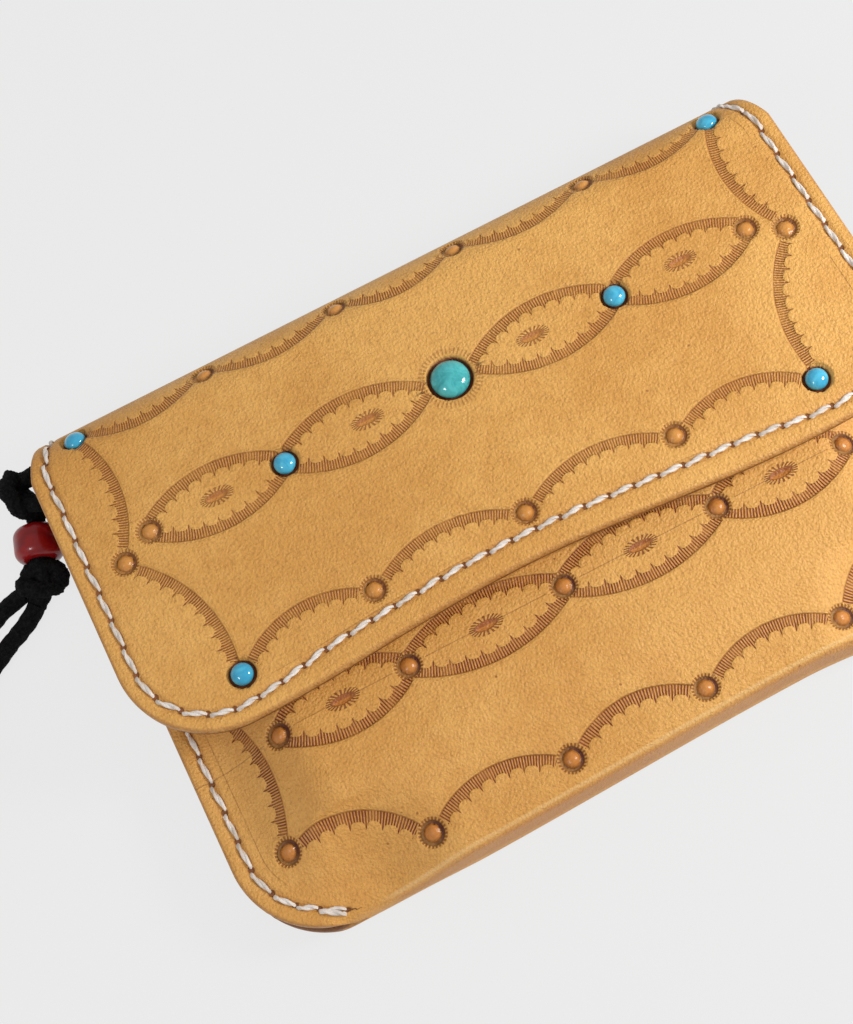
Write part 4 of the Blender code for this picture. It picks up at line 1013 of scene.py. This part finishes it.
# A short nap: each point is pushed out or in by noise
def roughen(bm, amount, size):
    bm.normal_update()
    for vertex in bm.verts:
        push = noise.noise(vertex.co / (size * 2.5)) + noise.noise(vertex.co / size)
        push += 0.7 * max(0.0, noise.noise(vertex.co / (size * 0.4)))
        vertex.co += vertex.normal * push * amount
    return bm


# Melts laces that press on each other into one closed lump with a nap
def meltTogether(tubes):
    bm = bmesh.new()
    for tube in tubes:
        mesh = meshOf("tube", tube)
        bm.from_mesh(mesh)
        bpy.data.meshes.remove(mesh)
    lump = placed("lump", meshOf("lump", bm))
    remesh = lump.modifiers.new("remesh", "REMESH")
    remesh.mode, remesh.voxel_size = "VOXEL", lace["voxel"]
    whole = bpy.data.meshes.new_from_object(lump.evaluated_get(bpy.context.evaluated_depsgraph_get()))
    bpy.data.objects.remove(lump)
    bm = bmesh.new()
    bm.from_mesh(whole)
    return scaled(roughen(bm, lace["fuzz"], lace["nap"]))


def laceTube(points, radius):
    return tubeAlong(smoothPath(points, lace["step"]), radius)


def pointsFrom(origin, offsets):
    return [origin + Vector(offset) for offset in offsets]


def makeLace(suede, metal, glass):
    heading = Vector((*lace["heading"], 0.0)).normalized()
    across = heading.cross(Vector((0.0, 0.0, 1.0)))
    reach = math.sqrt(lace["ringR"] ** 2 - (lace["ringZ"] - lace["sheetZ"]) ** 2)
    centre = Vector((*lace["eyelet"], lace["ringZ"])) + heading * reach
    outer = centre + heading * lace["ringR"]
    bm = bmesh.new()
    circle = bmesh.ops.create_circle(bm, segments=14, radius=lace["wire"])["verts"]
    bmesh.ops.translate(bm, vec=(lace["ringR"], 0, 0), verts=circle)
    bmesh.ops.rotate(bm, cent=(lace["ringR"], 0, 0), matrix=Matrix.Rotation(math.pi / 2, 3, "X"),
                     verts=circle)
    bmesh.ops.spin(bm, geom=bm.verts[:] + bm.edges[:], cent=(0, 0, 0), axis=(0, 0, 1), angle=math.tau,
                   steps=48, use_merge=True)
    bmesh.ops.remove_doubles(bm, verts=bm.verts, dist=1e-4)
    ring = finishPiece("laceRing", stand(bm, centre, across), metal, "nickel")
    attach(ring, "body")
    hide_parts("lace_ring")

    middle = Vector(lace["bead"])
    axis = Vector((*lace["beadHeading"], 0.0)).normalized()
    r, h, bore, curve = lace["beadR"], lace["beadHalf"], lace["bore"], lace["beadRound"]
    profile = [(bore, -h * 0.9), (bore + 0.35, -h)]
    profile += arcPoints((r - curve, curve - h), curve, -85, 0, 8)
    profile += arcPoints((r - curve, h - curve), curve, 0, 85, 8)
    profile += [(bore + 0.35, h), (bore, h * 0.9), (bore, -h * 0.9)]
    bead = finishPiece("glassBead", stand(turnedPiece(profile, 48), middle, axis), glass, "red_glass")
    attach(bead, "body")
    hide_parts("glass_bead")

    bight = lace["wire"] + 3 * lace["gap"] + lace["r"]
    top = middle + axis * (h + 2.6)
    far = [top, top + Vector((0.9, 0.4, 1.8))]
    for a in map(math.radians, range(115, -116, -23)):         # round the ring's wire
        far.append(outer + heading * (0.5 - bight * math.cos(a)) - across * bight * math.sin(a) * 0.9)
    far += pointsFrom(outer, lace["hitchEnd"])
    stem = [middle + axis * lace["gap"], middle + axis * 2.0, middle + axis * (h + 1.0), top,
            outer + Vector(lace["hitchMiddle"])]
    tubes = [laceTube(far, lace["r"] * 0.94), laceTube(pointsFrom(outer, lace["hitchWrap"]), lace["r"]),
             laceTube(stem, bore - lace["gap"])]
    hitch = finishPiece("laceHitch", meltTogether(tubes), suede, "black_suede")
    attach(hitch, "body")
    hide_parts("lace_hitch")

    knot = Vector(lace["knot"])
    stem = [middle - axis * lace["gap"], middle - axis * 2.0, middle - axis * (h + 1.0), knot]
    tubes = [laceTube(pointsFrom(knot, lace["knotTurn"]), lace["r"] * 0.95),
             laceTube(stem, bore - lace["gap"])]
    for tail in lace["tails"].values():
        first = Vector(tail[0])
        toward = (Vector(tail[1]) - first).normalized()
        tubes.append(laceTube([knot, first - toward * 2.0, first], lace["r"]))
    lump = finishPiece("laceKnot", meltTogether(tubes), suede, "black_suede")
    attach(lump, "body")
    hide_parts("lace_knot")

    for word, tail in lace["tails"].items():
        points = smoothPath(tail, lace["tailStep"])
        length = sum((b - a).length for a, b in zip(points, points[1:]))
        bm = scaled(roughen(tubeAlong(points, lace["r"]), lace["fuzz"] * 0.7, lace["nap"]))
        piece = finishPiece(word + "Tail", bm, suede, "black_suede")
        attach(piece, "body")
        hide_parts("lace_tail_" + word)
        [tuple(p * mm) for p in points]
        print(word, "tail is", round(length, 1), "mm long")


makeLace(suedeMaterial(), metalMaterial(), beadMaterial())
print("lace ready")

# Leather

tanFlap = leatherMaterial("carvedFlap", flapInk)
tanShell = leatherMaterial("carvedShell", shellInk)
plain = plainLeather("plainLeather")

flapSeam = flapSide(stitching["inset"], backQ - 1.6, stitching["bow"])
shellSeams = {}
for side, word in ((-1, "left"), (1, "right")):
    shellSeams[word, "front"] = seamPath(side, stitching["inset"])
    shellSeams[word, "back"] = [(x, mirrorQ(q)) for x, q in shellSeams[word, "front"]]

fine = 0.4                                       # the grid's step where the leather is tooled
xLines = np.arange(-75.2, 75.3, fine)
qLines = np.concatenate([np.arange(-17.4, lipQ + 1, fine), np.arange(lipQ + 1.4, backQ + 0.6, 0.9)])
bendCuts = [foldY + math.pi * foldR * i / 14 for i in range(15)]
flap = makeSheet("flapLeather", flapSide(0.0, backQ), xLines, qLines, placeFlap, wallet["flapT"],
                 flapPattern(), [flapSeam], ((), bendCuts))
paint(flap, tanFlap)
print("flap has", len(flap.data.vertices), "points")

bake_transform(flap)
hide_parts("flap_outer", "top_fold")


def liningSide():
    rim = flapSide(wallet["liningInset"], backQ)
    half = wallet["bodyHalf"] - wallet["liningStep"]                # the lining is narrower inside the body
    return [(math.copysign(min(abs(x), half), x) if q > lipQ + 4 else x, q) for x, q in rim]


lining = makeSheet("flapLining", liningSide(), np.arange(-75.0, 75.1, 1.2),
                   np.arange(-17.4, backQ + 1.2, 1.2), placeFlap, wallet["liningT"], None, (),
                   ((), bendCuts), wallet["flapT"] + wallet["gap"])
paint(lining, plain)
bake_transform(lining)
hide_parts("flap_lining", "fold_lining")

xLines = np.arange(-72.7, 72.8, fine)
qLines = np.concatenate([np.arange(mirrorQ(foldY) - 1.2, backStart - 1.0, 1.6),
                         np.arange(backStart - 1.0, -6.0, fine),
                         np.arange(-6.0, wallet["frontTop"] + 1.3, 1.3)])
bendCuts = [cornerY] + [bendStart - bendLength * i / 16 for i in range(17)]
# the underside's faces are cut along these lines, where the front falls away
crownCuts = [side * x for x in (68.0, 64.5, 61.0, 57.5, 54.6, 42.0) for side in (-1, 1)]
shell = makeSheet("shellLeather", shellSide(0.0), xLines, qLines, placeShell, wallet["shellT"],
                  shellPattern(), list(shellSeams.values()), (crownCuts, bendCuts))
paint(shell, tanShell)
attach(shell, "body")
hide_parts("outer_shell")
print("shell has", len(shell.data.vertices), "points")


# Stitches: one twisted stitch, repeated from hole to hole

def stitchTemplate():
    s = stitching
    bm = bmesh.new()
    steps = 12
    for ply in (0, 1):
        circle = bmesh.ops.create_circle(bm, segments=6, radius=s["plyR"])["verts"]
        bmesh.ops.rotate(bm, cent=(0, 0, 0), matrix=Matrix.Rotation(math.pi / 2, 3, "Y"), verts=circle)
        bmesh.ops.translate(bm, vec=(-s["reach"] / 2, s["plyOffset"] * (1 - 2 * ply), 0), verts=circle)
        edges = list({e for v in circle for e in v.link_edges})
        bmesh.ops.spin(bm, geom=circle + edges, cent=(0, 0, 0), axis=(1, 0, 0), angle=math.tau * s["turns"],
                       steps=steps, dvec=(s["reach"] / steps, 0, 0))
    bmesh.ops.holes_fill(bm, edges=[e for e in bm.edges if e.is_boundary], sides=0)
    for vertex in bm.verts:
        end = min(1.0, abs(vertex.co.x) / (s["reach"] / 2))
        vertex.co.z = vertex.co.z * (1 - 0.35 * end ** 4) + s["lift"] - (s["dip"] + s["lift"]) * end ** 5
        vertex.co.y *= 1 - 0.3 * end ** 6
    bmesh.ops.rotate(bm, cent=(0, 0, 0), matrix=Matrix.Rotation(math.radians(s["slant"]), 3, "Z"),
                     verts=bm.verts)
    bmesh.ops.recalc_face_normals(bm, faces=bm.faces)
    return meshOf("stitch", bm)


# Puts a stitch between each two holes along a path of the flat leather
def sewAlong(path, place, sink, backStitches=0):
    line = filled(path, sheetEdge["seamStep"], closed=False)
    marks = sewnLengths(line)[1]
    count = round(marks[-1] / stitching["pitch"])
    pitch = marks[-1] / count
    spots = [(i + 0.5) * pitch for i in range(count)]
    spots += [marks[-1] - pitch * 0.5] * backStitches
    bm = bmesh.new()
    template = stitchTemplate()
    taken = 0.96                                     # share of the pitch between a stitch's two holes
    for number, s in enumerate(spots):
        at = [s - pitch * taken / 2, s, s + pitch * taken / 2]
        x, q = np.interp(at, marks, line[:, 0]), np.interp(at, marks, line[:, 1])
        before, middle, after = [Vector(p) for p in zip(*place(x, q, np.full(3, sink)))]
        below = Vector([float(v) for v in place(x[1], q[1], np.array(sink + 1.0))])
        along = (after - before).normalized()
        up = (middle - below).normalized()
        up = (up - along * up.dot(along)).normalized()
        matrix = Matrix((along, up.cross(along), up)).transposed().to_4x4()
        sway = 0.12 * math.sin(2.3 * number) + 0.07 * math.sin(5.1 * number)
        matrix = matrix @ Matrix.Rotation(sway * 0.35, 4, "Z")
        if number >= count:
            matrix = matrix @ Matrix.Rotation(stitching["backTurn"], 4, "Z")
            matrix = matrix @ Matrix.Translation(stitching["backShift"])
        stretch = (after - before).length / (taken * stitching["reach"])
        matrix = matrix @ Matrix.Diagonal((stretch, 1.0, 1.0, 1.0))
        matrix.translation += middle
        known = len(bm.verts)
        bm.from_mesh(template)
        bm.verts.ensure_lookup_table()
        bmesh.ops.transform(bm, matrix=Matrix.Diagonal((mm, mm, mm, 1.0)) @ matrix,
                            verts=bm.verts[known:])
    bpy.data.meshes.remove(template)
    return bm


thread = threadMaterial()
flapStitches = finishPiece("flapStitches", sewAlong(flapSeam, placeFlap, stitching["frontSink"]), thread,
                           "waxed_thread")
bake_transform(flapStitches)
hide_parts("flap_stitching")
for (word, face), path in shellSeams.items():
    sink = stitching[face + "Sink"]
    name = word + ("SeamStitches" if face == "front" else "BackStitches")
    stitches = finishPiece(name, sewAlong(path, placeShell, sink, 1 if face == "front" else 0), thread,
                           "waxed_thread")
    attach(stitches, "body")
    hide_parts(word + ("_seam_stitching" if face == "front" else "_seam_back_stitching"))
print("stitches ready")


# Stones

def makeStones():
    blue = stoneMaterial("turquoiseBlue", otherLooks["blueStone"])
    green = stoneMaterial("turquoiseGreen", otherLooks["greenStone"])
    nodes = ["big_stone", "row_stone_left", "row_stone_right", "top_stone_left", "top_stone_right",
             "low_stone_left", "low_stone_right"]
    for node, (centre, radius) in zip(nodes, flapPattern()[2]):
        size = "big" if node == "big_stone" else "small"
        high = stones[size + "Dome"]
        foot, top = (Vector([float(v) for v in placeFlap(*map(np.array, centre), np.array(depth))])
                     for depth in (high - stones[size + "Stand"], 0.0))
        bm = bmesh.new()
        bmesh.ops.create_uvsphere(bm, u_segments=40, v_segments=20, radius=radius)
        bmesh.ops.scale(bm, vec=(1.0, 1.0, high / radius), verts=bm.verts)
        for vertex in bm.verts:
            vertex.co *= 1.0 + stones["uneven"] * noise.noise(vertex.co * 0.4 + Vector(centre + (0.0,)))
            vertex.co.z = max(vertex.co.z, stones["foot"])
        first, *others = node.split("_")
        stone = finishPiece(first + "".join(word.capitalize() for word in others),
                            stand(bm, foot, top - foot), green if size == "big" else blue,
                            "turquoise_green" if size == "big" else "turquoise_blue")
        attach(stone, "flap")
        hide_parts(node)


makeStones()
print("stones ready")

# Pieces of the frame that keep their shape and get a finish

metal = bpy.data.materials["nickelPlate"]
for node, material in (("divider_panel", plain), ("card_pocket_lower", plain), ("card_pocket_upper", plain),
                       ("snap_stud", metal), ("snap_socket", metal), ("eyelet", metal)):
    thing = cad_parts[node]
    thing.data.materials.clear()
    thing.data.materials.append(material)
